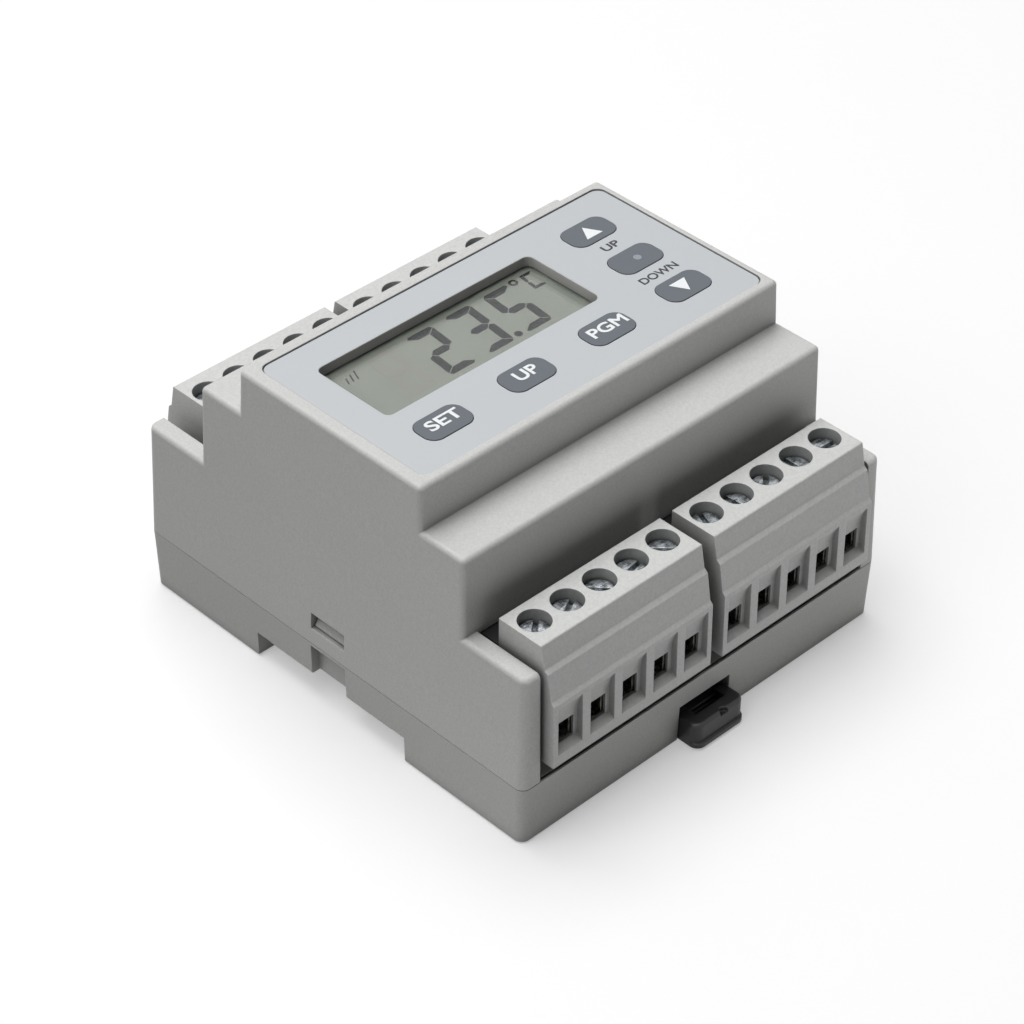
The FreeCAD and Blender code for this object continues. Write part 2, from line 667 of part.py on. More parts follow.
low_roof = s.step_height - s.wall
foot_x = half_width - s.wall
foot_y = bay_back - s.wall
low_cavity = outline(cover, "low_cavity_foot", "XY_Plane", [
    (-foot_x, -foot_y), (foot_x, -foot_y), (foot_x, foot_y), (-foot_x, foot_y)], cover_bottom)
roof_x = cover_side(low_roof) - s.wall
roof_y = step_reach - s.wall
low_cavity_roof = outline(cover, "low_cavity_roof", "XY_Plane", [
    (-roof_x, -roof_y), (roof_x, -roof_y), (roof_x, roof_y), (-roof_x, roof_y)], low_roof)
loft(cover, "low_cavity", "Subtractive", low_cavity, low_cavity_roof)
block(cover, "high_cavity", "Subtractive", both(cover_side(s.rim_height) - s.wall),
      both(top_reach - s.wall), (low_roof - CUT_PAST, cover_roof))
for end, name in ((-1, "front"), (1, "rear")):
    block(cover, f"bay_{name}", "Subtractive", both(bay_half),
          towards(end, bay_back, half_length + CUT_PAST),
          (cover_bottom - CUT_PAST, s.shelf_height + s.edge_radius + CUT_PAST))
for name, pitch, gap, side, end, outset in BLOCKS:
    middle = block_middle(pitch, gap, side)
    opening = header_half(pitch) + s.header_gap
    block(cover, f"header_opening_{name}", "Subtractive", (middle - opening, middle + opening),
          towards(end, bay_back - s.wall - CUT_PAST, bay_back + CUT_PAST),
          (cover_bottom - CUT_PAST, header_top + s.header_gap))
for row, sign_y in enumerate((-1, 1)):
    for column, sign_x in enumerate((-1, 1)):
        boss_x = (s.display_board_width / 2 - s.boss_inset) * sign_x
        boss_y = (s.display_board_length / 2 - s.boss_inset) * sign_y
        round_bar(cover, f"boss_{row}{column}", "Additive", s.boss_diameter, boss_x, boss_y,
                  (lcd_bottom, cover_roof + CUT_PAST))
        round_bar(cover, f"stake_{row}{column}", "Additive", s.stake_diameter, boss_x, boss_y,
                  (display_board_bottom - s.stake_proud, lcd_bottom + CUT_PAST))

panel_seat = rounded_rectangle(
    cover, "panel_seat_outline", (panel_left - s.panel_play, panel_right + s.panel_play),
    both(s.panel_length / 2 + s.panel_play), s.panel_corner, panel_bottom)
pocket_up(cover, "panel_seat", panel_seat, s.panel_sink + s.panel_thickness + CUT_PAST)
view_opening = rounded_rectangle(cover, "view_outline", view_x, view_y, s.view_corner, cover_roof)
pocket_up(cover, "view_opening", view_opening, s.top_wall + CUT_PAST)
flange_x = s.key_width / 2 + s.key_flange
flange_y = s.key_length / 2 + s.key_flange
for name, key_x, key_y in KEYS:
    play_x = flange_x + s.panel_play
    play_y = flange_y + s.panel_play
    well = rounded_rectangle(cover, f"well_{name}", (key_x - play_x, key_x + play_x),
                             (key_y - play_y, key_y + play_y), s.key_corner, cover_roof)
    pocket_up(cover, f"hole_{name}", well, s.top_wall + CUT_PAST)
for side, name in ((-1, "left"), (1, "right")):
    through = sorted([(snap_back - CUT_PAST) * side, (half_width + CUT_PAST) * side],
                     key=lambda size: size.number)
    block(cover, f"snap_window_{name}", "Subtractive", through, both(s.snap_width / 2),
          (s.snap_bottom, s.snap_top))

# Front panel: a thin sheet with the display opening and six key apertures
faceplate = new_body("faceplate")
sheet_outline = rounded_rectangle(faceplate, "sheet_outline", (panel_left, panel_right),
                                  both(s.panel_length / 2), s.panel_corner, panel_bottom)
pad(faceplate, "panel_sheet", sheet_outline, s.panel_thickness)
window = rounded_rectangle(faceplate, "window_outline", view_x, view_y, s.view_corner, panel_bottom)
pocket_up(faceplate, "display_window", window, s.panel_thickness)
for name, key_x, key_y in KEYS:
    reach_x = s.key_width / 2 + s.key_play
    reach_y = s.key_length / 2 + s.key_play
    aperture = rounded_rectangle(
        faceplate, f"aperture_{name}", (key_x - reach_x, key_x + reach_x),
        (key_y - reach_y, key_y + reach_y), s.key_corner + s.key_play, panel_bottom)
    pocket_up(faceplate, f"cut_{name}", aperture, s.panel_thickness)

# Keys: a pad in the panel, a flange that holds it in, and a stem over its switch
flange_top = panel_bottom - s.flange_play
flange_bottom = flange_top - s.flange_thickness
stem_bottom = flange_bottom - s.stem_length
for name, key_x, key_y in KEYS:
    key = new_body(name)
    flange = rounded_rectangle(key, f"{name}_flange_outline", both(flange_x), both(flange_y),
                               s.key_corner, flange_bottom)
    pad(key, f"{name}_flange", flange, s.flange_thickness)
    face = rounded_rectangle(key, f"{name}_face_outline", both(s.key_width / 2),
                             both(s.key_length / 2), s.key_corner, flange_top)
    pad(key, f"{name}_face", face, panel_top + s.key_proud - flange_top)
    round_bar(key, f"{name}_stem", "Additive", s.key_stem, 0, 0, (stem_bottom, flange_top))
    move(key, key_x, key_y, 0)

# Display glass in its frame, and the clear lens glued under the cover
lcd = new_body("lcd_panel")
frame_x = (view_x[0] - s.lcd_margin, view_x[1] + s.lcd_margin)
frame_y = (view_y[0] - s.lcd_margin, view_y[1] + s.lcd_margin)
block(lcd, "lcd_back", "Additive", frame_x, frame_y, (lcd_bottom, lcd_top - s.lcd_thickness / 2))
block(lcd, "lcd_front", "Additive", (frame_x[0] + s.lcd_step, frame_x[1] - s.lcd_step),
      (frame_y[0] + s.lcd_step, frame_y[1] - s.lcd_step), (lcd_bottom, lcd_top))

lens = new_body("display_lens")
lens_outline = rounded_rectangle(
    lens, "lens_outline", (view_x[0] - s.lens_margin, view_x[1] + s.lens_margin),
    (view_y[0] - s.lens_margin, view_y[1] + s.lens_margin), s.view_corner + s.lens_margin, lens_bottom)
pad(lens, "lens_sheet", lens_outline, s.lens_thickness)

# Display board, riveted to the cover's bosses, with a push switch under each key
display_board = new_body("display_board")
block(display_board, "board_sheet", "Additive", both(s.display_board_width / 2),
      both(s.display_board_length / 2), (display_board_bottom, lcd_bottom))
for row, sign_y in enumerate((-1, 1)):
    for column, sign_x in enumerate((-1, 1)):
        round_bar(display_board, f"stake_hole_{row}{column}", "Subtractive", s.stake_hole,
                  (s.display_board_width / 2 - s.boss_inset) * sign_x,
                  (s.display_board_length / 2 - s.boss_inset) * sign_y,
                  (display_board_bottom - CUT_PAST, lcd_bottom + CUT_PAST))
plunger_top = stem_bottom - s.key_travel - s.stem_gap
for name, key_x, key_y in KEYS:
    block(display_board, f"switch_{name}", "Additive",
          (key_x - s.switch_size / 2, key_x + s.switch_size / 2),
          (key_y - s.switch_size / 2, key_y + s.switch_size / 2),
          (display_board_bottom, plunger_top - s.plunger_height))
    round_bar(display_board, f"plunger_{name}", "Additive", s.plunger_diameter, key_x, key_y,
              (display_board_bottom, plunger_top))

# Main board on the posts of the base, with its transformer, capacitors and the strip to the display
main_board = new_body("main_board")
block(main_board, "main_sheet", "Additive", both(s.board_width / 2), both(s.board_length / 2),
      (s.board_height, board_top))
for row, sign_y in enumerate((-1, 1)):
    for column, sign_x in enumerate((-1, 1)):
        round_bar(main_board, f"post_hole_{row}{column}", "Subtractive", s.post_hole,
                  pin_row_x * sign_x, pin_row_y * sign_y,
                  (s.board_height - CUT_PAST, board_top + CUT_PAST))
transformer_x = -s.board_width / 2 + s.transformer_width / 2 + s.part_gap
block(main_board, "transformer_core", "Additive",
      (transformer_x - s.transformer_width / 2, transformer_x + s.transformer_width / 2),
      both(s.transformer_length / 2), (s.board_height, board_top + s.transformer_height))
for count, place in enumerate((-1, 1)):
    round_bar(main_board, f"capacitor_{count}", "Additive", s.capacitor_diameter,
              s.capacitor_x + (s.capacitor_diameter + s.part_gap) / 2 * place,
              s.transformer_length / 2 + s.capacitor_diameter / 2 + s.part_gap,
              (s.board_height, board_top + s.capacitor_height))
block(main_board, "display_strip", "Additive",
      (s.strip_x - s.strip_width / 2, s.strip_x + s.strip_width / 2), both(s.strip_length / 2),
      (s.board_height, display_board_bottom))

relays = new_body("relays")
relays.AllowCompound = True
for count in range(int(s.relays.number)):
    relay_x = s.relay_width / 2 + s.relay_pitch * count
    block(relays, f"relay_{count}", "Additive", (relay_x - s.relay_width / 2, relay_x + s.relay_width / 2),
          both(s.relay_length / 2), (board_top, board_top + s.relay_height))

# Headers on the main board: a shroud and five pins for each terminal block
headers = new_body("header_sockets")
headers.AllowCompound = True
for name, pitch, gap, side, end, outset in BLOCKS:
    middle = block_middle(pitch, gap, side)
    shroud = header_half(pitch)
    socket = shroud - s.header_wall
    floor_reach = header_mouth - s.nose_depth + outset
    mouth = header_mouth + outset
    pin_tip = floor_reach + s.pin_length
    block(headers, f"shroud_{name}", "Additive", (middle - shroud, middle + shroud),
          towards(end, header_mouth - s.header_depth, mouth), (board_top, header_top))
    block(headers, f"socket_{name}", "Subtractive", (middle - socket, middle + socket),
          towards(end, floor_reach, mouth + CUT_PAST),
          (s.nose_bottom - s.header_play, s.nose_top + s.header_play))
    for pole in range(POLES):
        pin_x = middle + pitch * pole - pitch * (s.poles - 1) / 2
        block(headers, f"pin_{name}_{pole + 1}", "Additive",
              (pin_x - s.pin_size / 2, pin_x + s.pin_size / 2),
              towards(end, header_mouth - s.header_depth, pin_tip),
              (s.contact_height - s.pin_size / 2, s.contact_height + s.pin_size / 2))


def turn(body, degrees):
    """Turns a piece about its own upright axis."""
    upright = FreeCAD.Vector(0, 0, 1)
    body.Placement = FreeCAD.Placement(FreeCAD.Vector(), FreeCAD.Rotation(upright, degrees))


def face_outward(body, end, x, y):
    """Stands a piece made for the rear end at the rear, or turned round at the front."""
    turn(body, 180 if end < 0 else 0)
    move(body, x, y, 0)


# Terminal blocks: moulded housings with a driver hole, a wire funnel and a clamp chamber at each pole
head_bottom = s.head_top - s.head_height
screw_seat = head_bottom - s.head_play
funnel_back = s.block_face - s.window_depth
chamber_outer = funnel_back - s.throat_wall
cage_outer = chamber_outer - s.cage_play
cage_inner = cage_outer - s.cage_length
chamber = (cage_inner - s.cage_play, chamber_outer)
middle_face = s.block_face - s.face_lean - s.lower_ledge
brow_foot = middle_face - s.middle_lean - s.upper_ledge
round_heights = [s.block_bottom, s.lower_ridge - s.ridge_bevel, s.upper_ridge - s.ridge_bevel, s.block_top]


def long_edge(edge):
    """Outward edges along the wire face of a block."""
    box = edge.BoundBox
    on_ridge = any(abs(box.Center.z - height.number) < CUT_PAST / 10 for height in round_heights)
    return on_ridge and box.XLength > CUT_PAST and box.Center.y > s.screw_row.number


for name, pitch, gap, side, end, outset in BLOCKS:
    shell = new_body(f"terminal_block_{name}")
    width = block_width(pitch)
    first = -(pitch * (s.poles - 1) / 2)
    section = outline(shell, f"block_section_{name}", "YZ_Plane", [
        (s.block_back, s.block_bottom), (s.block_face, s.block_bottom),
        (s.block_face - s.face_lean, s.lower_ridge - s.ridge_bevel), (middle_face, s.lower_ridge),
        (middle_face - s.middle_lean, s.upper_ridge - s.ridge_bevel), (brow_foot, s.upper_ridge),
        (brow_foot - s.brow_lean, s.block_top), (s.block_back, s.block_top),
    ])
    pad_across(shell, f"block_shell_{name}", section, width)
    round_edges(shell, f"block_rounding_{name}", s.ridge_radius, long_edge)
    block(shell, f"nose_{name}", "Additive", both(width / 2 - s.nose_inset),
          (s.block_back - s.nose_depth, s.block_back + CUT_PAST), (s.nose_bottom, s.nose_top))
    hole = round_bar(shell, f"driver_hole_{name}", "Subtractive", s.screw_hole, first, s.screw_row,
                     (screw_seat, s.block_top + CUT_PAST))
    repeat(shell, f"driver_holes_{name}", hole, "X_Axis", pitch, s.poles)
    neck = round_bar(shell, f"neck_{name}", "Subtractive", s.neck_hole, first, s.screw_row,
                     (cage_top, screw_seat + CUT_PAST))
    repeat(shell, f"necks_{name}", neck, "X_Axis", pitch, s.poles)
    clamp_half = s.cage_width / 2 + s.cage_play
    room = block(shell, f"chamber_{name}", "Subtractive", (first - clamp_half, first + clamp_half), chamber,
                 (s.cage_bottom - s.cage_play, cage_top + s.cage_travel + s.cage_play))
    repeat(shell, f"chambers_{name}", room, "X_Axis", pitch, s.poles)
    funnel_section = outline(shell, f"funnel_section_{name}", "YZ_Plane", [
        (s.block_face + CUT_PAST, s.window_bottom), (s.block_face, s.window_bottom),
        (funnel_back, s.throat_bottom), (funnel_back, s.throat_top),
        (s.block_face - s.face_lean, s.window_top, s.funnel_radius),
        (s.block_face + CUT_PAST, s.window_top),
    ], first)
    funnel = pocket_across(shell, f"funnel_{name}", funnel_section, s.window_width)
    repeat(shell, f"funnels_{name}", funnel, "X_Axis", pitch, s.poles)
    throat = block(shell, f"throat_{name}", "Subtractive",
                   (first - s.throat_width / 2, first + s.throat_width / 2),
                   (chamber_outer - CUT_PAST / 2, funnel_back + CUT_PAST / 2),
                   (s.throat_bottom, s.throat_top))
    repeat(shell, f"throats_{name}", throat, "X_Axis", pitch, s.poles)
    pin_hole_half = s.pin_size / 2 + s.pin_play
    pin_hole = block(shell, f"pin_hole_{name}", "Subtractive",
                     (first - pin_hole_half, first + pin_hole_half),
                     (s.block_back - s.nose_depth - CUT_PAST, s.block_back - s.header_play),
                     (s.contact_height - pin_hole_half, s.contact_height + pin_hole_half))
    repeat(shell, f"pin_holes_{name}", pin_hole, "X_Axis", pitch, s.poles)
    bar = block(shell, f"contact_bar_{name}", "Additive",
                (first - s.bar_width / 2, first + s.bar_width / 2),
                (s.block_back, chamber_outer - CUT_PAST), contact)
    repeat(shell, f"contact_bars_{name}", bar, "X_Axis", pitch, s.poles)
    face_outward(shell, end, block_middle(pitch, gap, side), outset * end)

# Terminal screws and the clamp cages that they draw up, one pair for each pole
SLOT_ANGLES = [39, 26, -49, 9, -44, 69, 96, 42, 91, -2, 25, -60, 5, 70, -15, 40, -75, 12, -28, 55]
shank_gap = s.shank_diameter / 2 + s.thread_play
for number in range(4 * POLES):
    name, pitch, gap, side, end, outset = BLOCKS[number // POLES]
    pole = number % POLES
    pole_x = block_middle(pitch, gap, side) + pitch * pole - pitch * (s.poles - 1) / 2

    screw = new_body(f"screw_{name}_{pole + 1}")
    label = screw.Label
    round_bar(screw, f"{label}_head", "Additive", s.head_diameter, 0, 0, (head_bottom, s.head_top))
    round_bar(screw, f"{label}_shank", "Additive", s.shank_diameter, 0, 0,
              (s.shank_bottom, s.head_top - s.slot_depth))
    block(screw, f"{label}_slot", "Subtractive", both(s.head_diameter), both(s.slot_width / 2),
          (s.head_top - s.slot_depth, s.head_top + CUT_PAST))
    turn(screw, SLOT_ANGLES[number % len(SLOT_ANGLES)])
    move(screw, pole_x, (s.screw_row + outset) * end, 0)

    cage = new_body(f"clamp_{name}_{pole + 1}")
    label = cage.Label
    inner_half = s.cage_width / 2 - s.cage_wall
    corner = s.cage_corner
    tube_outline = outline(cage, f"{label}_outline", "XZ_Plane", [
        (-s.cage_width / 2 + corner, s.cage_bottom, -corner), (s.cage_width / 2 - corner, s.cage_bottom),
        (s.cage_width / 2, s.cage_bottom + corner, -corner), (s.cage_width / 2, cage_top),
        (-s.cage_width / 2, cage_top), (-s.cage_width / 2, s.cage_bottom + corner),
    ], -cage_outer)
    pad(cage, f"{label}_tube", tube_outline, s.cage_length)
    block(cage, f"{label}_opening", "Subtractive", both(inner_half),
          (cage_inner - CUT_PAST, cage_outer + CUT_PAST),
          (s.cage_bottom + s.cage_wall, cage_top - s.cage_nut))
    round_bar(cage, f"{label}_thread", "Subtractive", 2 * shank_gap, 0, s.screw_row,
              (cage_top - s.cage_nut - CUT_PAST, cage_top + CUT_PAST))
    face_outward(cage, end, pole_x, outset * end)

# Rail catch: a flat slide with a nose under the rail edge, a guide tongue on each side and a finger tab
rail_latch = new_body("rail_latch")
plate_bottom = grip_top - s.latch_thickness
nose_tip = rail_edge - s.latch_reach
tab_outer = half_length + s.tab_reach
tab_inner = half_length - s.wall / 2
tab_bottom = s.tab_top - s.tab_thickness
plate = outline(rail_latch, "slide_section", "YZ_Plane", [
    (-tab_inner, plate_bottom), (-(nose_tip + s.latch_thickness / 2), plate_bottom),
    (-nose_tip, grip_top - s.latch_thickness / 2), (-nose_tip, grip_top), (-tab_inner, grip_top),
])
pad_across(rail_latch, "slide", plate, s.latch_width)
slot_inner = tab_inner - s.latch_play
for name, reach, thickness in (("tab", tab_outer, s.tab_thickness),
                               ("lip", tab_outer + s.tab_lip, s.tab_lip_height)):
    plan = outline(rail_latch, f"{name}_plan", "XY_Plane", [
        (-latch_half, -slot_inner), (-latch_half, -(reach - s.tab_corner)),
        (-latch_half + s.tab_corner, -reach, -s.tab_corner), (latch_half - s.tab_corner, -reach),
        (latch_half, -(reach - s.tab_corner), -s.tab_corner), (latch_half, -slot_inner),
    ], tab_bottom)
    pad(rail_latch, name, plan, thickness)


def tab_brow(edge):
    """Upper outward edge of the finger tab, with its two corners."""
    box = edge.BoundBox
    return abs(box.ZMin - s.tab_top.number) < CUT_PAST / 10 and -box.Center.y > half_length.number


round_edges(rail_latch, "tab_rounding", s.tab_edge, tab_brow)
block(rail_latch, "tongues", "Additive", both(latch_half + s.tongue_width),
      (-s.tongue_front, -tongue_rear), (s.tongue_bottom, s.tongue_bottom + s.tongue_thickness))
slot_section = outline(rail_latch, "tab_slot_section", "YZ_Plane", [
    (-slot_inner, s.tab_top + CUT_PAST), (-slot_inner, s.tab_top - s.tab_slot_depth),
    (-(slot_inner + s.tab_slot_length), s.tab_top - s.tab_slot_depth / 2),
    (-(slot_inner + s.tab_slot_length), s.tab_top + CUT_PAST),
])
pocket_across(rail_latch, "tab_slot", slot_section, s.tab_slot_width)
round_bar(rail_latch, "tab_notch", "Subtractive", s.tab_notch, s.tab_notch_x, -tab_outer,
          (s.tab_top - CUT_PAST, s.tab_top + CUT_PAST))

doc.recompute()

# Test every object, then write each piece
faults = [item.Name for item in doc.Objects if "Invalid" in item.State or "Error" in item.State]
if faults:
    raise SystemExit(f"failed objects: {faults}")
os.makedirs("parts", exist_ok=True)
for body in doc.findObjects("PartDesign::Body"):
    shape = body.Shape
    if shape.isNull() or not shape.isValid():
        raise SystemExit(f"{body.Label}: the shape is null or not valid")
    shape.exportStep(f"parts/{body.Label}.step")
    print(f"{body.Label}: {len(shape.Solids)} solid(s), {shape.Volume:.1f} mm3, {len(shape.Faces)} faces")
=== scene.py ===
import math
import bmesh
import bpy
from mathutils import Matrix, Vector


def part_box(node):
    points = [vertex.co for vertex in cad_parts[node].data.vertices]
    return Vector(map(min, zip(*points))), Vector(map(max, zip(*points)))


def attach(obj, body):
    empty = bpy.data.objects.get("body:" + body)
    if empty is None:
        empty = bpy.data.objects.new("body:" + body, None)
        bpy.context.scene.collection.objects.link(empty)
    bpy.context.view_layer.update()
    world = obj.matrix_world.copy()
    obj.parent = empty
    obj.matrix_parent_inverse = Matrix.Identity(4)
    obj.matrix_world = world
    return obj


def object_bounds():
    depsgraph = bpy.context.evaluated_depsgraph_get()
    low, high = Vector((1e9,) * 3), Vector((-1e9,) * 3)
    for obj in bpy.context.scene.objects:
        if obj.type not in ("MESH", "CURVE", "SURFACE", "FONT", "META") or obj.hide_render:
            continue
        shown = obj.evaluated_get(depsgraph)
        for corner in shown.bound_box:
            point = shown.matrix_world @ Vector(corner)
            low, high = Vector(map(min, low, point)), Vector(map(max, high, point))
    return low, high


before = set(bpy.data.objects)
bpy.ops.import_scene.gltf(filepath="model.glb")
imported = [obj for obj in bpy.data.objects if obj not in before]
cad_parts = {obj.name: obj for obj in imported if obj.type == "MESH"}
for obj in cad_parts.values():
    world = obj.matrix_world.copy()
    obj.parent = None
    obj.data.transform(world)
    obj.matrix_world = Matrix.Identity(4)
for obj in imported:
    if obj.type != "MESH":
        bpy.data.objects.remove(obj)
cad_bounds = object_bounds()

# Housing. The real base and cover are two shells of light grey ABS, injection moulded and snapped
# together along the joint line. The mould is spark eroded, so the skin is a fine matt grain, and the
# moulded edges are slightly round and catch the light.
MM = 0.001
HOUSING_GREY = "#C6C6C4"
# The base is a shade darker than the cover: painted shade for its lower sides.
HOUSING_SHADE = "#C0C0BE"
BASE_SHADED_GREY = "#BEBEBC"
BASE_SHADE = "#B7B7B5"
# A lighter grey along the rounded edges: a painted highlight, where the edges catch the light.
EDGE_HIGHLIGHT_GREY = "#DCDCDA"
# The real grain is about 0.1 mm wide: it is drawn four times as coarse, so that it shows.
GRAIN_PITCH = 0.42 * MM
GRAIN_DEPTH = 0.03 * MM
GRAIN_STRENGTH = 0.8
SHADE_PITCH = 28 * MM
# Painted shade in hollows, corners and holes: how far the darkening looks, between which occlusion values it
# runs, and its darkest tone.
HOLLOW_REACH = 4 * MM
HOLLOW_SHUT = 0.15
HOLLOW_OPEN = 0.8
HOLLOW_SHADE_TONE = 0.3
SPECKLE = 0.07
MATT_SPREAD = 0.06
MOULD_EDGE = 0.28 * MM
# Painted highlight along edges: the turn of the rounded normal where it starts and where it is full, and its
# largest share.
EDGE_FLAT = 0.99
EDGE_TURNED = 0.85
EDGE_HIGHLIGHT_SHARE = 0.8
ABS_IOR = 1.54


def linear(code):
    """The linear colour, with alpha, of an sRGB hex value."""
    parts = [int(code[place:place + 2], 16) / 255 for place in (1, 3, 5)]
    return tuple(c / 12.92 if c <= 0.04045 else ((c + 0.055) / 1.055) ** 2.4 for c in parts) + (1.0,)


def add_node(tree, kind, settings=None, inputs=None):
    """Adds a node, sets its properties, and sets or links its inputs by their name or number."""
    made = tree.nodes.new(kind)
    for name, value in (settings or {}).items():
        setattr(made, name, value)
    for name, value in (inputs or {}).items():
        if isinstance(value, bpy.types.NodeSocket):
            tree.links.new(value, made.inputs[name])
        else:
            made.inputs[name].default_value = value
    return made


def new_material(name):
    """A material with an empty node tree."""
    material = bpy.data.materials.new(name)
    material.use_nodes = True
    material.node_tree.nodes.clear()
    return material


def moulded_plastic(name, colour, shade, edge_highlight_colour, grain, depth, edge, roughness, ior,
                    reach=HOLLOW_REACH):
    """Moulded plastic: grain from the mould, round edges with a painted highlight, and painted shade in the
    hollows.
    """
    material = new_material(name)
    tree = material.node_tree
    place = add_node(tree, "ShaderNodeTexCoord").outputs["Object"]
    tone = add_node(tree, "ShaderNodeTexNoise", inputs={"Vector": place, "Scale": 1 / SHADE_PITCH,
                                                        "Detail": 3.0})
    skin = add_node(tree, "ShaderNodeTexNoise", inputs={"Vector": place, "Scale": 1 / grain,
                                                        "Detail": 2.0, "Roughness": 0.6})
    body = add_node(tree, "ShaderNodeMix", {"data_type": "RGBA"},
                    {"Factor": tone.outputs["Fac"], "A": linear(colour), "B": linear(shade)})
    round_normal = add_node(tree, "ShaderNodeBevel", {"samples": 6}, {"Radius": edge}).outputs["Normal"]
    flat_normal = add_node(tree, "ShaderNodeNewGeometry").outputs["True Normal"]
    # Painted highlight: a lighter colour laid along the rounded edges, where they catch the light.
    along = add_node(tree, "ShaderNodeVectorMath", {"operation": "DOT_PRODUCT"},
                     {0: round_normal, 1: flat_normal})
    edge_highlight_mask = add_node(tree, "ShaderNodeMapRange", inputs={"Value": along.outputs["Value"],
                                                           "From Min": EDGE_FLAT,
                                                           "From Max": EDGE_TURNED,
                                                           "To Min": 0.0, "To Max": EDGE_HIGHLIGHT_SHARE})
    colour_mix = add_node(tree, "ShaderNodeMix", {"data_type": "RGBA"},
                          {"Factor": edge_highlight_mask.outputs["Result"], "A": body.outputs["Result"],
                           "B": linear(edge_highlight_colour)})
    # Painted shade: the colour is darkened where the surface is hemmed in, in hollows, corners and holes,
    # where shade falls.
    hollow = add_node(tree, "ShaderNodeAmbientOcclusion", {"samples": 8}, {"Distance": reach})
    hollow_shade = add_node(tree, "ShaderNodeMapRange", inputs={"Value": hollow.outputs["AO"],
                                                        "From Min": HOLLOW_SHUT,
                                                        "From Max": HOLLOW_OPEN,
                                                        "To Min": HOLLOW_SHADE_TONE})
    speckle = add_node(tree, "ShaderNodeMapRange", inputs={"Value": skin.outputs["Fac"],
                                                           "From Min": 0.3, "From Max": 0.7,
                                                           "To Min": 1 - SPECKLE,
                                                           "To Max": 1 + SPECKLE})
    shade_level = add_node(tree, "ShaderNodeMath", {"operation": "MULTIPLY"},
                           {0: hollow_shade.outputs["Result"], 1: speckle.outputs["Result"]})
    hollow_shaded_colour = add_node(tree, "ShaderNodeHueSaturation", inputs={"Color": colour_mix.outputs["Result"],
                                                              "Value": shade_level.outputs["Value"]})
    grain_bump = add_node(tree, "ShaderNodeBump", inputs={"Strength": GRAIN_STRENGTH, "Distance": depth,
                                                          "Height": skin.outputs["Fac"],
                                                          "Normal": round_normal})
    matt = add_node(tree, "ShaderNodeMapRange", inputs={"Value": skin.outputs["Fac"],
                                                        "To Min": roughness - MATT_SPREAD,
                                                        "To Max": roughness + MATT_SPREAD})
    shader = add_node(tree, "ShaderNodeBsdfPrincipled",
                      inputs={"Base Color": hollow_shaded_colour.outputs["Color"],
                              "Roughness": matt.outputs["Result"], "IOR": ior,
                              "Normal": grain_bump.outputs["Normal"]})
    add_node(tree, "ShaderNodeOutputMaterial", inputs={"Surface": shader.outputs["BSDF"]})
    return material


def dress(node, material):
    """Gives a node of the frame its finish."""
    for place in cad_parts[node].material_slots:
        place.material = material


# ABS, moulded in a spark-eroded tool: a matt light grey with a faint sparkle of grain.
spark_eroded_abs = moulded_plastic("abs_spark_eroded", HOUSING_GREY, HOUSING_SHADE, EDGE_HIGHLIGHT_GREY, GRAIN_PITCH,
                                   GRAIN_DEPTH, MOULD_EDGE, 0.52, ABS_IOR)
dress("cover", spark_eroded_abs)
# The same ABS, a shade darker for the base: painted shade for its lower sides, which get less light than the
# cover.
base_abs_shaded = moulded_plastic("abs_spark_eroded_base_shaded", BASE_SHADED_GREY, BASE_SHADE, EDGE_HIGHLIGHT_GREY, GRAIN_PITCH,
                           GRAIN_DEPTH, MOULD_EDGE, 0.54, ABS_IOR)
dress("base", base_abs_shaded)

# Terminal blocks and pin headers. The real ones are moulded in polyamide 66, grey for the blocks and
# black for the headers, in a polished mould. They push together along the rows of contact pins.
POLYAMIDE_GREY = "#CBCCCA"
POLYAMIDE_SHADE = "#C5C6C4"
POLYAMIDE_HIGHLIGHT = "#E6E7E5"
POLYAMIDE_IOR = 1.53
HEADER_BLACK = "#1C1C1D"
HEADER_SHADE = "#171718"
HEADER_HIGHLIGHT = "#343436"
POLISH_PITCH = 0.5 * MM
POLISH_DEPTH = 0.004 * MM
SHARP_EDGE = 0.3 * MM
# How far the painted shade reaches in the deep screw wells of the blocks.
WELL_SHADE_REACH = 9 * MM
BLOCKS = ["front_left", "front_right", "rear_left", "rear_right"]

# Polyamide, moulded in a smooth tool: a satin grey whose sharper edges draw fine light lines.
smooth_polyamide = moulded_plastic("polyamide_smooth", POLYAMIDE_GREY, POLYAMIDE_SHADE, POLYAMIDE_HIGHLIGHT,
                                   POLISH_PITCH, POLISH_DEPTH, SHARP_EDGE, 0.42, POLYAMIDE_IOR,
                                   WELL_SHADE_REACH)
# Polyamide for the headers, moulded in the same way: a black that makes the gaps round them dark.
header_polyamide = moulded_plastic("polyamide_black_smooth", HEADER_BLACK, HEADER_SHADE, HEADER_HIGHLIGHT,
                                   POLISH_PITCH, POLISH_DEPTH, SHARP_EDGE, 0.45, POLYAMIDE_IOR)
for block in BLOCKS:
    dress(f"terminal_block_{block}", smooth_polyamide)
dress("header_sockets", header_polyamide)

# Terminal screws and clamp cages. The real screws are turned from steel and zinc plated, and the cages
# are stamped and nickel plated. The tool leaves streaks, and the plating dulls them in patches.
ZINC_LIGHT = "#CFD4D8"
ZINC_DARK = "#71767B"
NICKEL_LIGHT = "#A3A19A"
NICKEL_DARK = "#56544E"
# The marks of the tool are finer than this on the real screws: they are drawn coarser, so that they show.
STREAK_PITCH = 0.12 * MM
STREAK_STRETCH = 9.0
PATCH_PITCH = 1.1 * MM
PATCH_THIN = 0.38
PATCH_FULL = 0.62
STREAK_DEPTH = 0.01 * MM
STREAK_STRENGTH = 0.9
STREAK_POLISH = 0.12
STREAK_DULLING = 0.15
METAL_EDGE = 0.12 * MM
POLES = 5


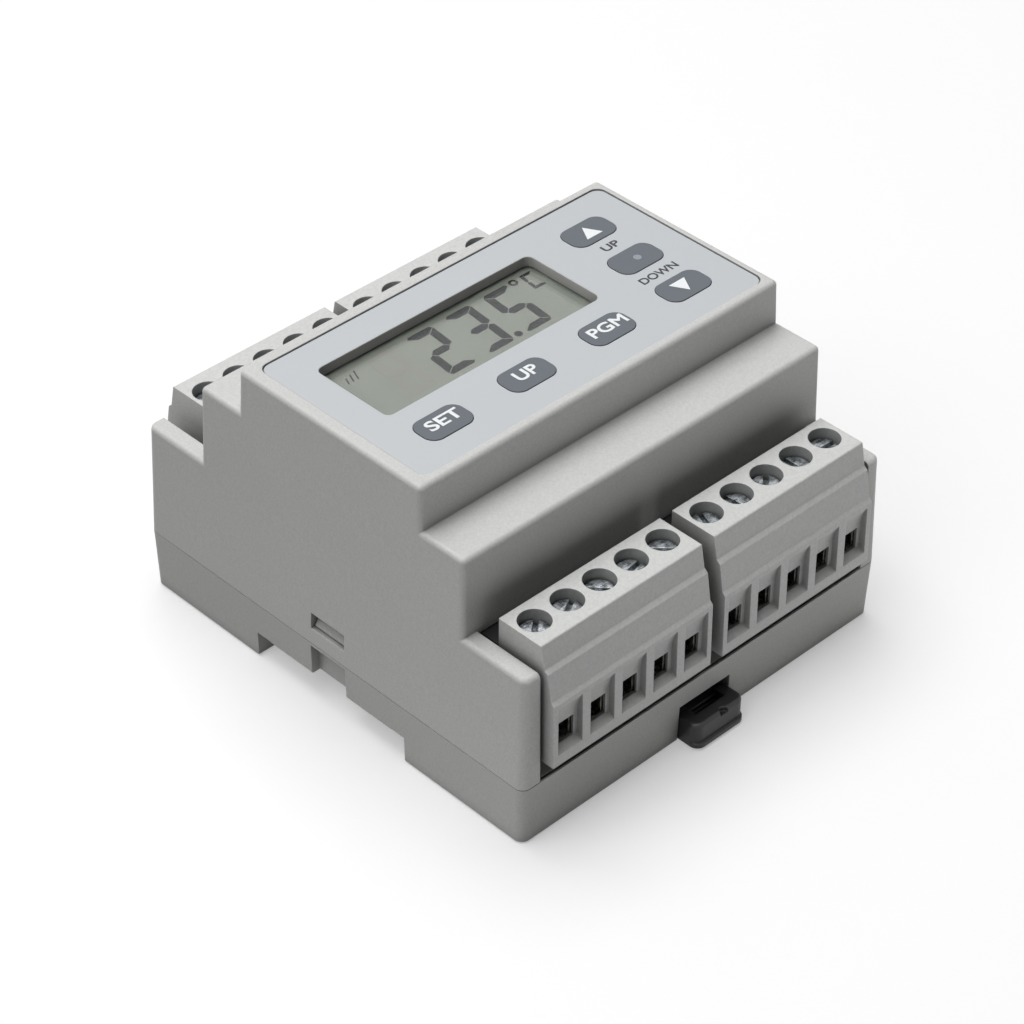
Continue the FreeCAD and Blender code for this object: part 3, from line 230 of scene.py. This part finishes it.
def plated_steel(name, light, dark, turn, roughness):
    """Plated steel: streaks of the tool under patches of plating."""
    material = new_material(name)
    tree = material.node_tree
    place = add_node(tree, "ShaderNodeTexCoord").outputs["Object"]
    streak_place = add_node(tree, "ShaderNodeMapping", inputs={
        "Vector": place, "Rotation": (0.0, 0.0, math.radians(turn)),
        "Scale": (1.0, STREAK_STRETCH, STREAK_STRETCH)})
    streak = add_node(tree, "ShaderNodeTexNoise", inputs={
        "Vector": streak_place.outputs["Vector"], "Scale": 1 / (STREAK_PITCH * STREAK_STRETCH),
        "Detail": 3.0, "Roughness": 0.65})
    patch = add_node(tree, "ShaderNodeTexNoise", inputs={"Vector": place, "Scale": 1 / PATCH_PITCH,
                                                         "Detail": 4.0, "Roughness": 0.6})
    spread = add_node(tree, "ShaderNodeMapRange", inputs={"Value": patch.outputs["Fac"],
                                                          "From Min": PATCH_THIN,
                                                          "From Max": PATCH_FULL})
    colour = add_node(tree, "ShaderNodeMix", {"data_type": "RGBA"},
                      {"Factor": spread.outputs["Result"], "A": linear(dark), "B": linear(light)})
    dull = add_node(tree, "ShaderNodeMapRange", inputs={"Value": streak.outputs["Fac"],
                                                        "From Min": 0.3, "From Max": 0.7,
                                                        "To Min": roughness - STREAK_POLISH,
                                                        "To Max": roughness + STREAK_DULLING})
    edge = add_node(tree, "ShaderNodeBevel", {"samples": 6}, {"Radius": METAL_EDGE})
    scored = add_node(tree, "ShaderNodeBump", inputs={"Strength": STREAK_STRENGTH,
                                                      "Distance": STREAK_DEPTH,
                                                      "Height": streak.outputs["Fac"],
                                                      "Normal": edge.outputs["Normal"]})
    shader = add_node(tree, "ShaderNodeBsdfPrincipled",
                      inputs={"Base Color": colour.outputs["Result"], "Metallic": 1.0,
                              "Roughness": dull.outputs["Result"],
                              "Normal": scored.outputs["Normal"]})
    add_node(tree, "ShaderNodeOutputMaterial", inputs={"Surface": shader.outputs["BSDF"]})
    return material


# Zinc plating on turned steel: bright bluish streaks across a patchy grey.
zinc_turned = plated_steel("steel_zinc_turned", ZINC_LIGHT, ZINC_DARK, 35.0, 0.3)
# Nickel plating on stamped steel: a warm grey, dulled in the press, that shows as a rim in each hole.
nickel_stamped = plated_steel("steel_nickel_stamped", NICKEL_LIGHT, NICKEL_DARK, -60.0, 0.3)
for block in BLOCKS:
    for pole in range(1, POLES + 1):
        dress(f"screw_{block}_{pole}", zinc_turned)
        dress(f"clamp_{block}_{pole}", nickel_stamped)

# Faceplate. The real one is a polyester film, printed on its back in a cool pale grey and stuck into
# the recess in the top of the cover. Its velvet face has a grain too fine to see one by one.
FILM_GREY = "#B9BDC0"
FILM_SHADE = "#B5B9BD"
# The real velvet is a few hundredths of a millimetre wide: it is drawn coarser, so that it shows.
VELVET_PITCH = 0.18 * MM
VELVET_DEPTH = 0.006 * MM
VELVET_STRENGTH = 0.7

# Polyester film, embossed velvet: an even cool grey with a soft, wide highlight.
film_material = new_material("polyester_velvet")
tree = film_material.node_tree
place = add_node(tree, "ShaderNodeTexCoord").outputs["Object"]
velvet = add_node(tree, "ShaderNodeTexNoise", inputs={"Vector": place, "Scale": 1 / VELVET_PITCH,
                                                      "Detail": 2.0})
drift = add_node(tree, "ShaderNodeTexNoise", inputs={"Vector": place, "Scale": 1 / SHADE_PITCH})
tint = add_node(tree, "ShaderNodeMix", {"data_type": "RGBA"},
                {"Factor": drift.outputs["Fac"], "A": linear(FILM_GREY), "B": linear(FILM_SHADE)})
emboss = add_node(tree, "ShaderNodeBump", inputs={"Strength": VELVET_STRENGTH, "Distance": VELVET_DEPTH,
                                                  "Height": velvet.outputs["Fac"]})
shader = add_node(tree, "ShaderNodeBsdfPrincipled",
                  inputs={"Base Color": tint.outputs["Result"], "Roughness": 0.46, "IOR": 1.6,
                          "Normal": emboss.outputs["Normal"]})
add_node(tree, "ShaderNodeOutputMaterial", inputs={"Surface": shader.outputs["BSDF"]})
dress("faceplate", film_material)

# Keys. The real ones are moulded in slate grey silicone rubber and printed white, and stand a hair
# above the faceplate in their holes. A press closes the switch on the board below.
KEY_SLATE = "#63686F"
KEY_SHADE = "#5D6269"
KEY_HIGHLIGHT = "#7D8289"
KEY_GRAIN = 0.2 * MM
KEY_GRAIN_DEPTH = 0.006 * MM
KEY_ROUND = 0.25 * MM
KEY_PRINT = "#E9EBEC"
DOT_GREY = "#8A8F96"
CAPTION_BLACK = "#1B1C20"
INK = 0.03 * MM
INK_SUNK = 0.01 * MM
INK_PATCH = 0.3 * MM
INK_SPREAD = 0.07
# Each key's word, with its width and how far its middle lies to the right of the key's.
WORDS = {"key_set": ("SET", 7.2 * MM, 0.5 * MM), "key_up": ("UP", 4.8 * MM, 0.35 * MM),
         "key_pgm": ("PGM", 8.2 * MM, 0.55 * MM)}
WORD_HEIGHT = 2.7 * MM
WORD_RAISE = 0.5 * MM
BOLD = 0.024
ARROW_WIDTH = 3.8 * MM
ARROW_HEIGHT = 3.3 * MM
DOT_RADIUS = 0.75 * MM
DOT_RIGHT = 0.5 * MM
# Each word beside the keys, with its width and the height of its middle on the faceplate.
CAPTIONS = {"caption_up": ("UP", 3.8 * MM, 5.6 * MM), "caption_down": ("DOWN", 8.7 * MM, -6.0 * MM)}
CAPTION_HEIGHT = 1.85 * MM
CAPTION_MIDDLE = 29.0 * MM


def print_material(name, colour, roughness, ior=1.5):
    """Printing ink: a thin, slightly uneven coat of colour."""
    material = new_material(name)
    ink_tree = material.node_tree
    spot = add_node(ink_tree, "ShaderNodeTexCoord").outputs["Object"]
    uneven = add_node(ink_tree, "ShaderNodeTexNoise", inputs={"Vector": spot, "Scale": 1 / INK_PATCH,
                                                              "Detail": 2.0})
    level = add_node(ink_tree, "ShaderNodeMapRange", inputs={"Value": uneven.outputs["Fac"],
                                                             "To Min": 1 - INK_SPREAD,
                                                             "To Max": 1 + INK_SPREAD})
    coat = add_node(ink_tree, "ShaderNodeHueSaturation", inputs={"Color": linear(colour),
                                                                 "Value": level.outputs["Result"]})
    ink = add_node(ink_tree, "ShaderNodeBsdfPrincipled", inputs={"Base Color": coat.outputs["Color"],
                                                                 "Roughness": roughness, "IOR": ior})
    add_node(ink_tree, "ShaderNodeOutputMaterial", inputs={"Surface": ink.outputs["BSDF"]})
    return material


def print_word(name, word, middle, width, height, base, body, material):
    """A printed word of plain sans letters, fitted to its width and height round its middle."""
    letters = bpy.data.curves.new(name, "FONT")
    letters.body = word
    letters.extrude = 0.5
    letters.bevel_depth = BOLD
    letters.bevel_resolution = 0
    letters.resolution_u = 6
    source = bpy.data.objects.new(name, letters)
    mesh = bpy.data.meshes.new_from_object(source)
    bpy.data.objects.remove(source)
    low = Vector(min(v.co[i] for v in mesh.vertices) for i in range(3))
    high = Vector(max(v.co[i] for v in mesh.vertices) for i in range(3))
    span = high - low
    mesh.transform(Matrix.Diagonal((width / span.x, height / span.y, INK / span.z, 1.0))
                   @ Matrix.Translation(-(low + high) / 2))
    mesh.transform(Matrix.Translation((middle[0], middle[1], base + INK / 2 - INK_SUNK)))
    place_piece(name, mesh, body, material)


def place_piece(name, mesh, body, material):
    """Puts a mesh in the scene with its finish, on the body that carries it."""
    mesh.name = name
    mesh.materials.clear()
    mesh.materials.append(material)
    piece = bpy.data.objects.new(name, mesh)
    bpy.context.scene.collection.objects.link(piece)
    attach(piece, body)


def print_shapes(name, shapes, base, body, material):
    """Flat printed shapes, each a closed list of points, raised from the surface below by the ink."""
    form = bmesh.new()
    for points in shapes:
        face = form.faces.new([form.verts.new((x, y, base - INK_SUNK)) for x, y in points])
        if face.normal.z > 0:
            face.normal_flip()
        raised = bmesh.ops.extrude_face_region(form, geom=[face])["geom"]
        top = [part for part in raised if isinstance(part, bmesh.types.BMVert)]
        bmesh.ops.translate(form, verts=top, vec=(0.0, 0.0, INK))
    bmesh.ops.recalc_face_normals(form, faces=form.faces)
    mesh = bpy.data.meshes.new(name)
    form.to_mesh(mesh)
    form.free()
    place_piece(name, mesh, body, material)


def round_shape(x, y, radius, corners=32):
    """The points of a circle."""
    turns = [2 * math.pi * corner / corners for corner in range(corners)]
    return [(x + radius * math.cos(turn), y + radius * math.sin(turn)) for turn in turns]


# Silicone rubber, moulded: a dull slate with a slight bloom and softly rounded rims.
silicone = moulded_plastic("silicone_moulded", KEY_SLATE, KEY_SHADE, KEY_HIGHLIGHT, KEY_GRAIN, KEY_GRAIN_DEPTH,
                           KEY_ROUND, 0.6, 1.41)
# Ink, screen printed: an even matt coat, white or faint on the keys and black on the faceplate.
white_ink = print_material("ink_white_printed", KEY_PRINT, 0.5)
black_ink = print_material("ink_black_printed", CAPTION_BLACK, 0.45)
faint_ink = print_material("ink_grey_printed", DOT_GREY, 0.5)
KEYS = ["key_set", "key_up", "key_pgm", "key_arrow_up", "key_blank", "key_arrow_down"]
for key in KEYS:
    dress(key, silicone)
    low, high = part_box(key)
    middle = (low + high) / 2
    if key in WORDS:
        word, width, right = WORDS[key]
        print_word(f"{key}_print", word, (middle.x + right, middle.y + WORD_RAISE), width, WORD_HEIGHT,
                   high.z, key, white_ink)
    elif key == "key_blank":
        dot = round_shape(middle.x + DOT_RIGHT, middle.y, DOT_RADIUS)
        print_shapes(f"{key}_print", [dot], high.z, key, faint_ink)
    else:
        up = 1 if key == "key_arrow_up" else -1
        tip = (middle.x, middle.y + up * ARROW_HEIGHT / 2)
        feet = [(middle.x + side * ARROW_WIDTH / 2, middle.y - up * ARROW_HEIGHT / 2) for side in (-1, 1)]
        print_shapes(f"{key}_print", [[tip, *feet]], high.z, key, white_ink)
film_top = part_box("faceplate")[1].z
for name, (word, width, y) in CAPTIONS.items():
    print_word(name, word, (CAPTION_MIDDLE, y), width, CAPTION_HEIGHT, film_top, "housing", black_ink)

# Display. The real one is a reflective liquid crystal cell: two sheets of glass with a polariser on
# each side and a dull reflector behind. Segments that are switched on turn dark. The first figure is
# blank, and its idle segments are only just visible.
LCD_GREY = "#747871"
LCD_SHADE = "#6E726B"
SEGMENT_DARK = "#17181C"
SEGMENT_IDLE = "#75756F"
SEGMENT_ROUGHNESS = 0.7
SEGMENT_IOR = 1.1
CELL_PITCH = 14 * MM
FOIL_PITCH = 0.1 * MM
FOIL_DEPTH = 0.002 * MM
DIGIT_PITCH = 8.95 * MM
DIGIT_WIDTH = 5.95 * MM
DIGIT_HEIGHT = 12.8 * MM
DIGIT_LEFT = -24.05 * MM
DIGIT_FOOT = -0.65 * MM
STROKE = 1.65 * MM
LEAN = 0.1
SEGMENT_GAP = 0.12 * MM
# The bars that are switched on in each figure: a is the top, b to f follow clockwise, g is the middle.
READING = ["", "abged", "abgcd", "afgcd"]
ALL_BARS = "abcdefg"
POINT = (1.3 * MM, 0.2 * MM, 0.78 * MM)
UNIT_LEFT = 12.7 * MM
UNIT_FOOT = 7.65 * MM
UNIT_WIDTH = 2.7 * MM
UNIT_HEIGHT = 4.7 * MM
UNIT_STROKE = 0.7 * MM
UNIT_GAP = 0.03 * MM
UNIT_BARS = "afed"
RING_MIDDLE = (11.2 * MM, 11.65 * MM)
RING_RADII = (0.9 * MM, 0.42 * MM)
RING_PARTS = 32
SIGN_LEFT = -29.3 * MM
SIGN_FOOT = 9.2 * MM
SIGN_BARS = 3
SIGN_PITCH = 1.05 * MM
SIGN_STROKE = 0.32 * MM
SIGN_RISE = 1.5 * MM
SIGN_STEP = 0.4 * MM
SIGN_LEAN = 0.4


def segment_shapes(x, y, width, height, stroke, gap, names):
    """The bars of a seven-segment figure, leaning to the right, with blunt ends and gaps between them."""
    half = height / 2
    cut = stroke / 2
    nib = stroke * 0.3
    far = width - nib - gap
    upper = {"a": [(nib + gap, height), (far, height), (width - gap, height - nib),
                   (width - stroke - gap, height - stroke), (stroke + gap, height - stroke),
                   (gap, height - nib)],
             "f": [(0, height - nib - gap), (stroke, height - stroke - gap), (stroke, half + cut + gap),
                   (cut, half + gap), (0, half + gap + nib)]}
    bars = {**upper,
            "b": [(width - u, v) for u, v in reversed(upper["f"])],
            "d": [(u, height - v) for u, v in reversed(upper["a"])],
            "e": [(u, height - v) for u, v in reversed(upper["f"])],
            "c": [(width - u, height - v) for u, v in upper["f"]],
            "g": [(cut + gap, half), (stroke + gap, half + cut), (width - stroke - gap, half + cut),
                  (width - cut - gap, half), (width - stroke - gap, half - cut),
                  (stroke + gap, half - cut)]}
    return [[(x + u + LEAN * v, y + v) for u, v in bars[name]] for name in names]


# Liquid crystal glass with its reflector: a satin grey-green, darker where the crystal is switched on.
lcd_material = new_material("glass_liquid_crystal")
tree = lcd_material.node_tree
place = add_node(tree, "ShaderNodeTexCoord").outputs["Object"]
cell = add_node(tree, "ShaderNodeTexNoise", inputs={"Vector": place, "Scale": 1 / CELL_PITCH, "Detail": 2.0})
cell_tint = add_node(tree, "ShaderNodeMix", {"data_type": "RGBA"},
                     {"Factor": cell.outputs["Fac"], "A": linear(LCD_GREY), "B": linear(LCD_SHADE)})
foil = add_node(tree, "ShaderNodeTexNoise", inputs={"Vector": place, "Scale": 1 / FOIL_PITCH})
foil_bump = add_node(tree, "ShaderNodeBump", inputs={"Strength": 0.1, "Distance": FOIL_DEPTH,
                                                     "Height": foil.outputs["Fac"]})
shader = add_node(tree, "ShaderNodeBsdfPrincipled",
                  inputs={"Base Color": cell_tint.outputs["Result"], "Roughness": 0.7, "IOR": 1.5,
                          "Specular IOR Level": 0.2, "Normal": foil_bump.outputs["Normal"]})
add_node(tree, "ShaderNodeOutputMaterial", inputs={"Surface": shader.outputs["BSDF"]})
dress("lcd_panel", lcd_material)
# Liquid crystal in its two states, set by the glass: dark and dull where on, all but clear where idle.
segment_on = print_material("crystal_switched_on", SEGMENT_DARK, SEGMENT_ROUGHNESS, SEGMENT_IOR)
segment_off = print_material("crystal_idle", SEGMENT_IDLE, SEGMENT_ROUGHNESS, SEGMENT_IOR)
lcd_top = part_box("lcd_panel")[1].z
lit = []
idle = []
for figure, bars in enumerate(READING):
    left = DIGIT_LEFT + figure * DIGIT_PITCH
    shapes = segment_shapes(left, DIGIT_FOOT, DIGIT_WIDTH, DIGIT_HEIGHT, STROKE, SEGMENT_GAP,
                            bars or ALL_BARS)
    if bars:
        lit += shapes
    else:
        idle += shapes
lit.append(round_shape(*POINT))
lit += segment_shapes(UNIT_LEFT, UNIT_FOOT, UNIT_WIDTH, UNIT_HEIGHT, UNIT_STROKE, UNIT_GAP, UNIT_BARS)
for part in range(RING_PARTS):
    ends = [2 * math.pi * (part + step) / RING_PARTS for step in (0, 1)]
    corners = [(RING_RADII[0], ends[0]), (RING_RADII[0], ends[1]), (RING_RADII[1], ends[1]),
               (RING_RADII[1], ends[0])]
    lit.append([(RING_MIDDLE[0] + radius * math.cos(turn), RING_MIDDLE[1] + radius * math.sin(turn))
                for radius, turn in corners])
for bar in range(SIGN_BARS):
    x = SIGN_LEFT + bar * SIGN_PITCH
    rise = SIGN_RISE + bar * SIGN_STEP
    lean = rise * SIGN_LEAN
    lit.append([(x, SIGN_FOOT), (x + SIGN_STROKE, SIGN_FOOT),
                (x + SIGN_STROKE + lean, SIGN_FOOT + rise), (x + lean, SIGN_FOOT + rise)])
print_shapes("display_figures", lit, lcd_top, "housing", segment_on)
print_shapes("display_idle_figures", idle, lcd_top, "housing", segment_off)

# Display window. The real one is a clear acrylic plate that snaps in under the cover, with hard
# coated, polished faces: it shows the room in a thin reflection and the figures below it.
WINDOW_CLEAR = "#F6F7F6"
WINDOW_SHADOW = "#F1F2F1"
WINDOW_IOR = 1.43

# Acrylic, cast and polished: clear, with a thin sharp reflection. Its shadow is let through, as in air.
clear_acrylic = new_material("acrylic_polished")
tree = clear_acrylic.node_tree
clear = add_node(tree, "ShaderNodeBsdfPrincipled",
                 inputs={"Base Color": linear(WINDOW_CLEAR), "Roughness": 0.03, "IOR": WINDOW_IOR,
                         "Transmission Weight": 1.0})
let_through = add_node(tree, "ShaderNodeBsdfTransparent", inputs={"Color": linear(WINDOW_SHADOW)})
ray = add_node(tree, "ShaderNodeLightPath")
window = add_node(tree, "ShaderNodeMixShader", inputs={0: ray.outputs["Is Shadow Ray"],
                                                       1: clear.outputs["BSDF"],
                                                       2: let_through.outputs["BSDF"]})
add_node(tree, "ShaderNodeOutputMaterial", inputs={"Surface": window.outputs["Shader"]})
dress("display_lens", clear_acrylic)

# Window wall. A thin sheet of grey, a shade darker than the housing, lines the opening between the film and
# the
# window. It is painted shade: it shows as the dull wall of the opening, where the cover's own wall lies in
# shade.
# A grey a shade darker than the housing: painted shade on the wall of the opening.
SHADE_SHEET_GREY = "#BDBDB9"
SHADE_SHEET_TONE = "#B4B4B0"
SHADE_SHEET_HIGHLIGHT = "#C4C4C0"
SHADE_SHEET_GRAIN = 0.25 * MM
SHADE_SHEET_GRAIN_DEPTH = 0.03 * MM
SHADE_SHEET_ROUND = 0.05 * MM
OPENING_LOW = (-32.85 * MM, -4.375 * MM)
OPENING_HIGH = (16.6 * MM, 13.575 * MM)
OPENING_CORNER = 1.4 * MM
SHADE_SHEET_THICK = 0.09 * MM
SHADE_SHEET_SUNK = 0.02 * MM
SHADE_SHEET_BELOW_FACE = 0.04 * MM
CORNER_STEPS = 8


def opening_outline(inset):
    """The rounded outline of the display opening, moved inwards by the inset."""
    low = [value + inset for value in OPENING_LOW]
    high = [value - inset for value in OPENING_HIGH]
    radius = OPENING_CORNER - inset
    left, right = low[0] + radius, high[0] - radius
    bottom, top = low[1] + radius, high[1] - radius
    points = []
    for quarter, (x, y) in enumerate(((right, top), (left, top), (left, bottom), (right, bottom))):
        for step in range(CORNER_STEPS + 1):
            turn = math.pi / 2 * (quarter + step / CORNER_STEPS)
            points.append((x + radius * math.cos(turn), y + radius * math.sin(turn)))
    return points


shade_sheet_levels = (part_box("display_lens")[1].z + INK_SUNK, film_top - SHADE_SHEET_BELOW_FACE)
outside = opening_outline(-SHADE_SHEET_SUNK)
inside = opening_outline(SHADE_SHEET_THICK)
rings = [(inside, shade_sheet_levels[0]), (inside, shade_sheet_levels[1]), (outside, shade_sheet_levels[1]),
         (outside, shade_sheet_levels[0])]
shade_sheet_points = [(x, y, z) for outline, z in rings for x, y in outline]
count = len(inside)
shade_sheet_faces = []
for ring in range(len(rings)):
    for corner in range(count):
        here, there = ring * count, (ring + 1) % len(rings) * count
        follow = (corner + 1) % count
        shade_sheet_faces.append((here + follow, here + corner, there + corner, there + follow))
shade_sheet_mesh = bpy.data.meshes.new("window_wall_shade_sheet")
shade_sheet_mesh.from_pydata(shade_sheet_points, [], shade_sheet_faces)
# The sheet: a dull grey, a shade darker than the housing, as painted shade on the wall, with a fine grain.
opening_wall_shade = moulded_plastic("opening_wall_painted_shade", SHADE_SHEET_GREY, SHADE_SHEET_TONE, SHADE_SHEET_HIGHLIGHT, SHADE_SHEET_GRAIN, SHADE_SHEET_GRAIN_DEPTH,
                            SHADE_SHEET_ROUND, 0.85, 1.5)
place_piece("window_wall_shade_sheet", shade_sheet_mesh, "housing", opening_wall_shade)

# Boards and relays. The real boards are glass fibre laminate under green solder lacquer, and the
# relays are sealed in blue polyester cases. They are hidden until the housing is opened.
LACQUER_GREEN = "#1F5B3A"
LACQUER_SHADE = "#1A4F33"
LACQUER_HIGHLIGHT = "#3C7A55"
WEAVE_PITCH = 0.6 * MM
BOARD_EDGE = 0.1 * MM
RELAY_BLUE = "#24456F"
RELAY_SHADE = "#1F3D64"
RELAY_HIGHLIGHT = "#4A6A92"
RELAY_GRAIN = 0.3 * MM
RELAY_ROUND = 0.2 * MM
INNER_DEPTH = 0.008 * MM

# Glass fibre laminate, lacquered: a glossy green over the faint weave of the glass.
board_lacquer = moulded_plastic("laminate_lacquered", LACQUER_GREEN, LACQUER_SHADE, LACQUER_HIGHLIGHT,
                                WEAVE_PITCH, INNER_DEPTH, BOARD_EDGE, 0.35, 1.5)
# Polyester, moulded: a satin blue with softly rounded edges.
relay_case = moulded_plastic("polyester_moulded", RELAY_BLUE, RELAY_SHADE, RELAY_HIGHLIGHT, RELAY_GRAIN,
                             INNER_DEPTH, RELAY_ROUND, 0.45, 1.57)
dress("main_board", board_lacquer)
dress("display_board", board_lacquer)
dress("relays", relay_case)

# Rail catch. The real one is moulded in black glass filled polyamide and slides in the base. Its tab
# stands out at the front, where a screwdriver pulls it off the rail.
CATCH_BLACK = "#101011"
CATCH_SHADE = "#0C0C0D"
CATCH_HIGHLIGHT = "#2A2A2C"
CATCH_GRAIN = 0.3 * MM
CATCH_DEPTH = 0.01 * MM
CATCH_ROUND = 0.35 * MM

# Glass filled polyamide, moulded: near black with a satin skin and a painted grey highlight on its edges.
black_polyamide = moulded_plastic("polyamide_glass_filled", CATCH_BLACK, CATCH_SHADE, CATCH_HIGHLIGHT,
                                  CATCH_GRAIN, CATCH_DEPTH, CATCH_ROUND, 0.4, POLYAMIDE_IOR)
dress("rail_latch", black_polyamide)

# Floor, light and camera. The table is a sheet of white board that fades to the background, under three
# soft lamps. A white card lights the front of the object, and a grey cloth keeps its left side calm.
FLOOR_HALF = 1.6
floor_mesh = bpy.data.meshes.new("floor")
floor_z = cad_bounds[0].z
floor_mesh.from_pydata([(x * FLOOR_HALF, y * FLOOR_HALF, floor_z) for x, y in
                        ((-1, -1), (1, -1), (1, 1), (-1, 1))], [], [(0, 1, 2, 3)])
floor = bpy.data.objects.new("floor", floor_mesh)
bpy.context.scene.collection.objects.link(floor)
BOARD_WHITE = "#FFFFFF"
CARD_WHITE = "#F4F4F4"
CLOTH_GREY = "#686868"
CLOTH_SIDE = (-0.707, 0.707, 0.0)
BOARD_GLOW = 0.36
# Distances in metres: half the strip where the cloth meets the card, and where the board starts and
# ends to fade to the backdrop, from the middle of the object.
CLOTH_EDGE = 0.09
FADE_START = 0.14
FADE_END = 0.7


def seen_directly(tree, ray):
    """1 for a ray from the camera, straight or by a reflection or through a window, and 0 for others."""
    mirrored = add_node(tree, "ShaderNodeMath", {"operation": "MAXIMUM"},
                        {0: ray.outputs["Is Camera Ray"], 1: ray.outputs["Is Glossy Ray"]})
    through = add_node(tree, "ShaderNodeMath", {"operation": "MAXIMUM"},
                       {0: mirrored.outputs["Value"], 1: ray.outputs["Is Transmission Ray"]})
    return through.outputs["Value"]


# Board, painted matt white: it is seen as bright as the backdrop, and throws back what card and cloth do.
white_board = new_material("board_white_matt")
tree = white_board.node_tree
seen = seen_directly(tree, add_node(tree, "ShaderNodeLightPath"))
place = add_node(tree, "ShaderNodeTexCoord").outputs["Object"]
leftwards = add_node(tree, "ShaderNodeVectorMath", {"operation": "DOT_PRODUCT"}, {0: place, 1: CLOTH_SIDE})
cloth = add_node(tree, "ShaderNodeMapRange", inputs={"Value": leftwards.outputs["Value"],
                                                     "From Min": -CLOTH_EDGE, "From Max": CLOTH_EDGE})
bounce = add_node(tree, "ShaderNodeMix", {"data_type": "RGBA"},
                  {"Factor": cloth.outputs["Result"], "A": linear(CARD_WHITE), "B": linear(CLOTH_GREY)})
board_tone = add_node(tree, "ShaderNodeMix", {"data_type": "RGBA"},
                      {"Factor": seen, "A": bounce.outputs["Result"], "B": linear(BOARD_WHITE)})
shader = add_node(tree, "ShaderNodeBsdfPrincipled", inputs={"Base Color": board_tone.outputs["Result"],
                                                            "Roughness": 0.9})
glow = add_node(tree, "ShaderNodeEmission", inputs={"Color": linear(BOARD_WHITE), "Strength": 1.0})
away = add_node(tree, "ShaderNodeVectorMath", {"operation": "LENGTH"}, {0: place})
fade = add_node(tree, "ShaderNodeMapRange", inputs={"Value": away.outputs["Value"],
                                                    "From Min": FADE_START, "From Max": FADE_END,
                                                    "To Min": BOARD_GLOW})
glow_share = add_node(tree, "ShaderNodeMath", {"operation": "MULTIPLY"},
                      {0: seen, 1: fade.outputs["Result"]})
board = add_node(tree, "ShaderNodeMixShader", inputs={0: glow_share.outputs["Value"],
                                                      1: shader.outputs["BSDF"],
                                                      2: glow.outputs["Emission"]})
add_node(tree, "ShaderNodeOutputMaterial", inputs={"Surface": board.outputs["Shader"]})
floor_mesh.materials.append(white_board)

LAMP_SIDE = 0.95
LAMP_DISTANCE = 1.2
# Each lamp's direction, as azimuth and elevation in degrees, and its power in watts.
LAMPS = {"softbox_above": (75, 78, 9.9), "softbox_behind": (80, 60, 2.4), "softbox_left": (176, 55, 6.1)}
# What the sky gives as light. The camera sees it white, and so do the window and the metal.
SKY_STRENGTH = 0.03
for name, (azimuth, elevation, power) in LAMPS.items():
    softbox = bpy.data.lights.new(name, "AREA")
    softbox.energy = power
    softbox.size = LAMP_SIDE
    lamp = bpy.data.objects.new(name, softbox)
    bpy.context.scene.collection.objects.link(lamp)
    turn = math.radians(azimuth)
    rise = math.radians(elevation)
    lamp.location = Vector((math.cos(turn) * math.cos(rise), math.sin(turn) * math.cos(rise),
                            math.sin(rise))) * LAMP_DISTANCE
    lamp.rotation_mode = "QUATERNION"
    lamp.rotation_quaternion = (-lamp.location).to_track_quat("-Z", "Y")
world = bpy.data.worlds.new("studio")
bpy.context.scene.world = world
world.use_nodes = True
tree = world.node_tree
tree.nodes.clear()
ray = add_node(tree, "ShaderNodeLightPath")
not_lighting = add_node(tree, "ShaderNodeMath", {"operation": "LESS_THAN"},
                        {0: ray.outputs["Diffuse Depth"], 1: 0.5})
white = add_node(tree, "ShaderNodeMath", {"operation": "MULTIPLY"},
                 {0: seen_directly(tree, ray), 1: not_lighting.outputs["Value"]})
strength = add_node(tree, "ShaderNodeMapRange", inputs={"Value": white.outputs["Value"],
                                                        "To Min": SKY_STRENGTH, "To Max": 1.0})
sky = add_node(tree, "ShaderNodeBackground", inputs={"Color": (1.0, 1.0, 1.0, 1.0),
                                                     "Strength": strength.outputs["Result"]})
add_node(tree, "ShaderNodeOutputWorld", inputs={"Surface": sky.outputs["Background"]})
bpy.context.scene.view_settings.view_transform = "Standard"

CAMERA_AZIMUTH = math.radians(-44.644)
CAMERA_ELEVATION = math.radians(38.565)
CAMERA_ROLL = math.radians(0.662)
CAMERA_PLACE = (-316.9 * MM, -320.92 * MM, 373.78 * MM)
FOCAL_LENGTH = 114.95
SENSOR_WIDTH = 36.0
NEAREST = 0.01
FARTHEST = 10.0
forward = Vector((-math.sin(CAMERA_AZIMUTH) * math.cos(CAMERA_ELEVATION),
                  math.cos(CAMERA_AZIMUTH) * math.cos(CAMERA_ELEVATION), -math.sin(CAMERA_ELEVATION)))
lens = bpy.data.cameras.new("camera")
lens.lens = FOCAL_LENGTH
lens.sensor_width = SENSOR_WIDTH
lens.clip_start = NEAREST
lens.clip_end = FARTHEST
camera = bpy.data.objects.new("camera", lens)
bpy.context.scene.collection.objects.link(camera)
camera.location = CAMERA_PLACE
camera.rotation_mode = "QUATERNION"
level = forward.to_track_quat("-Z", "Y").to_matrix()
camera.rotation_quaternion = (level @ Matrix.Rotation(CAMERA_ROLL, 3, "Z")).to_quaternion()
bpy.context.scene.camera = camera
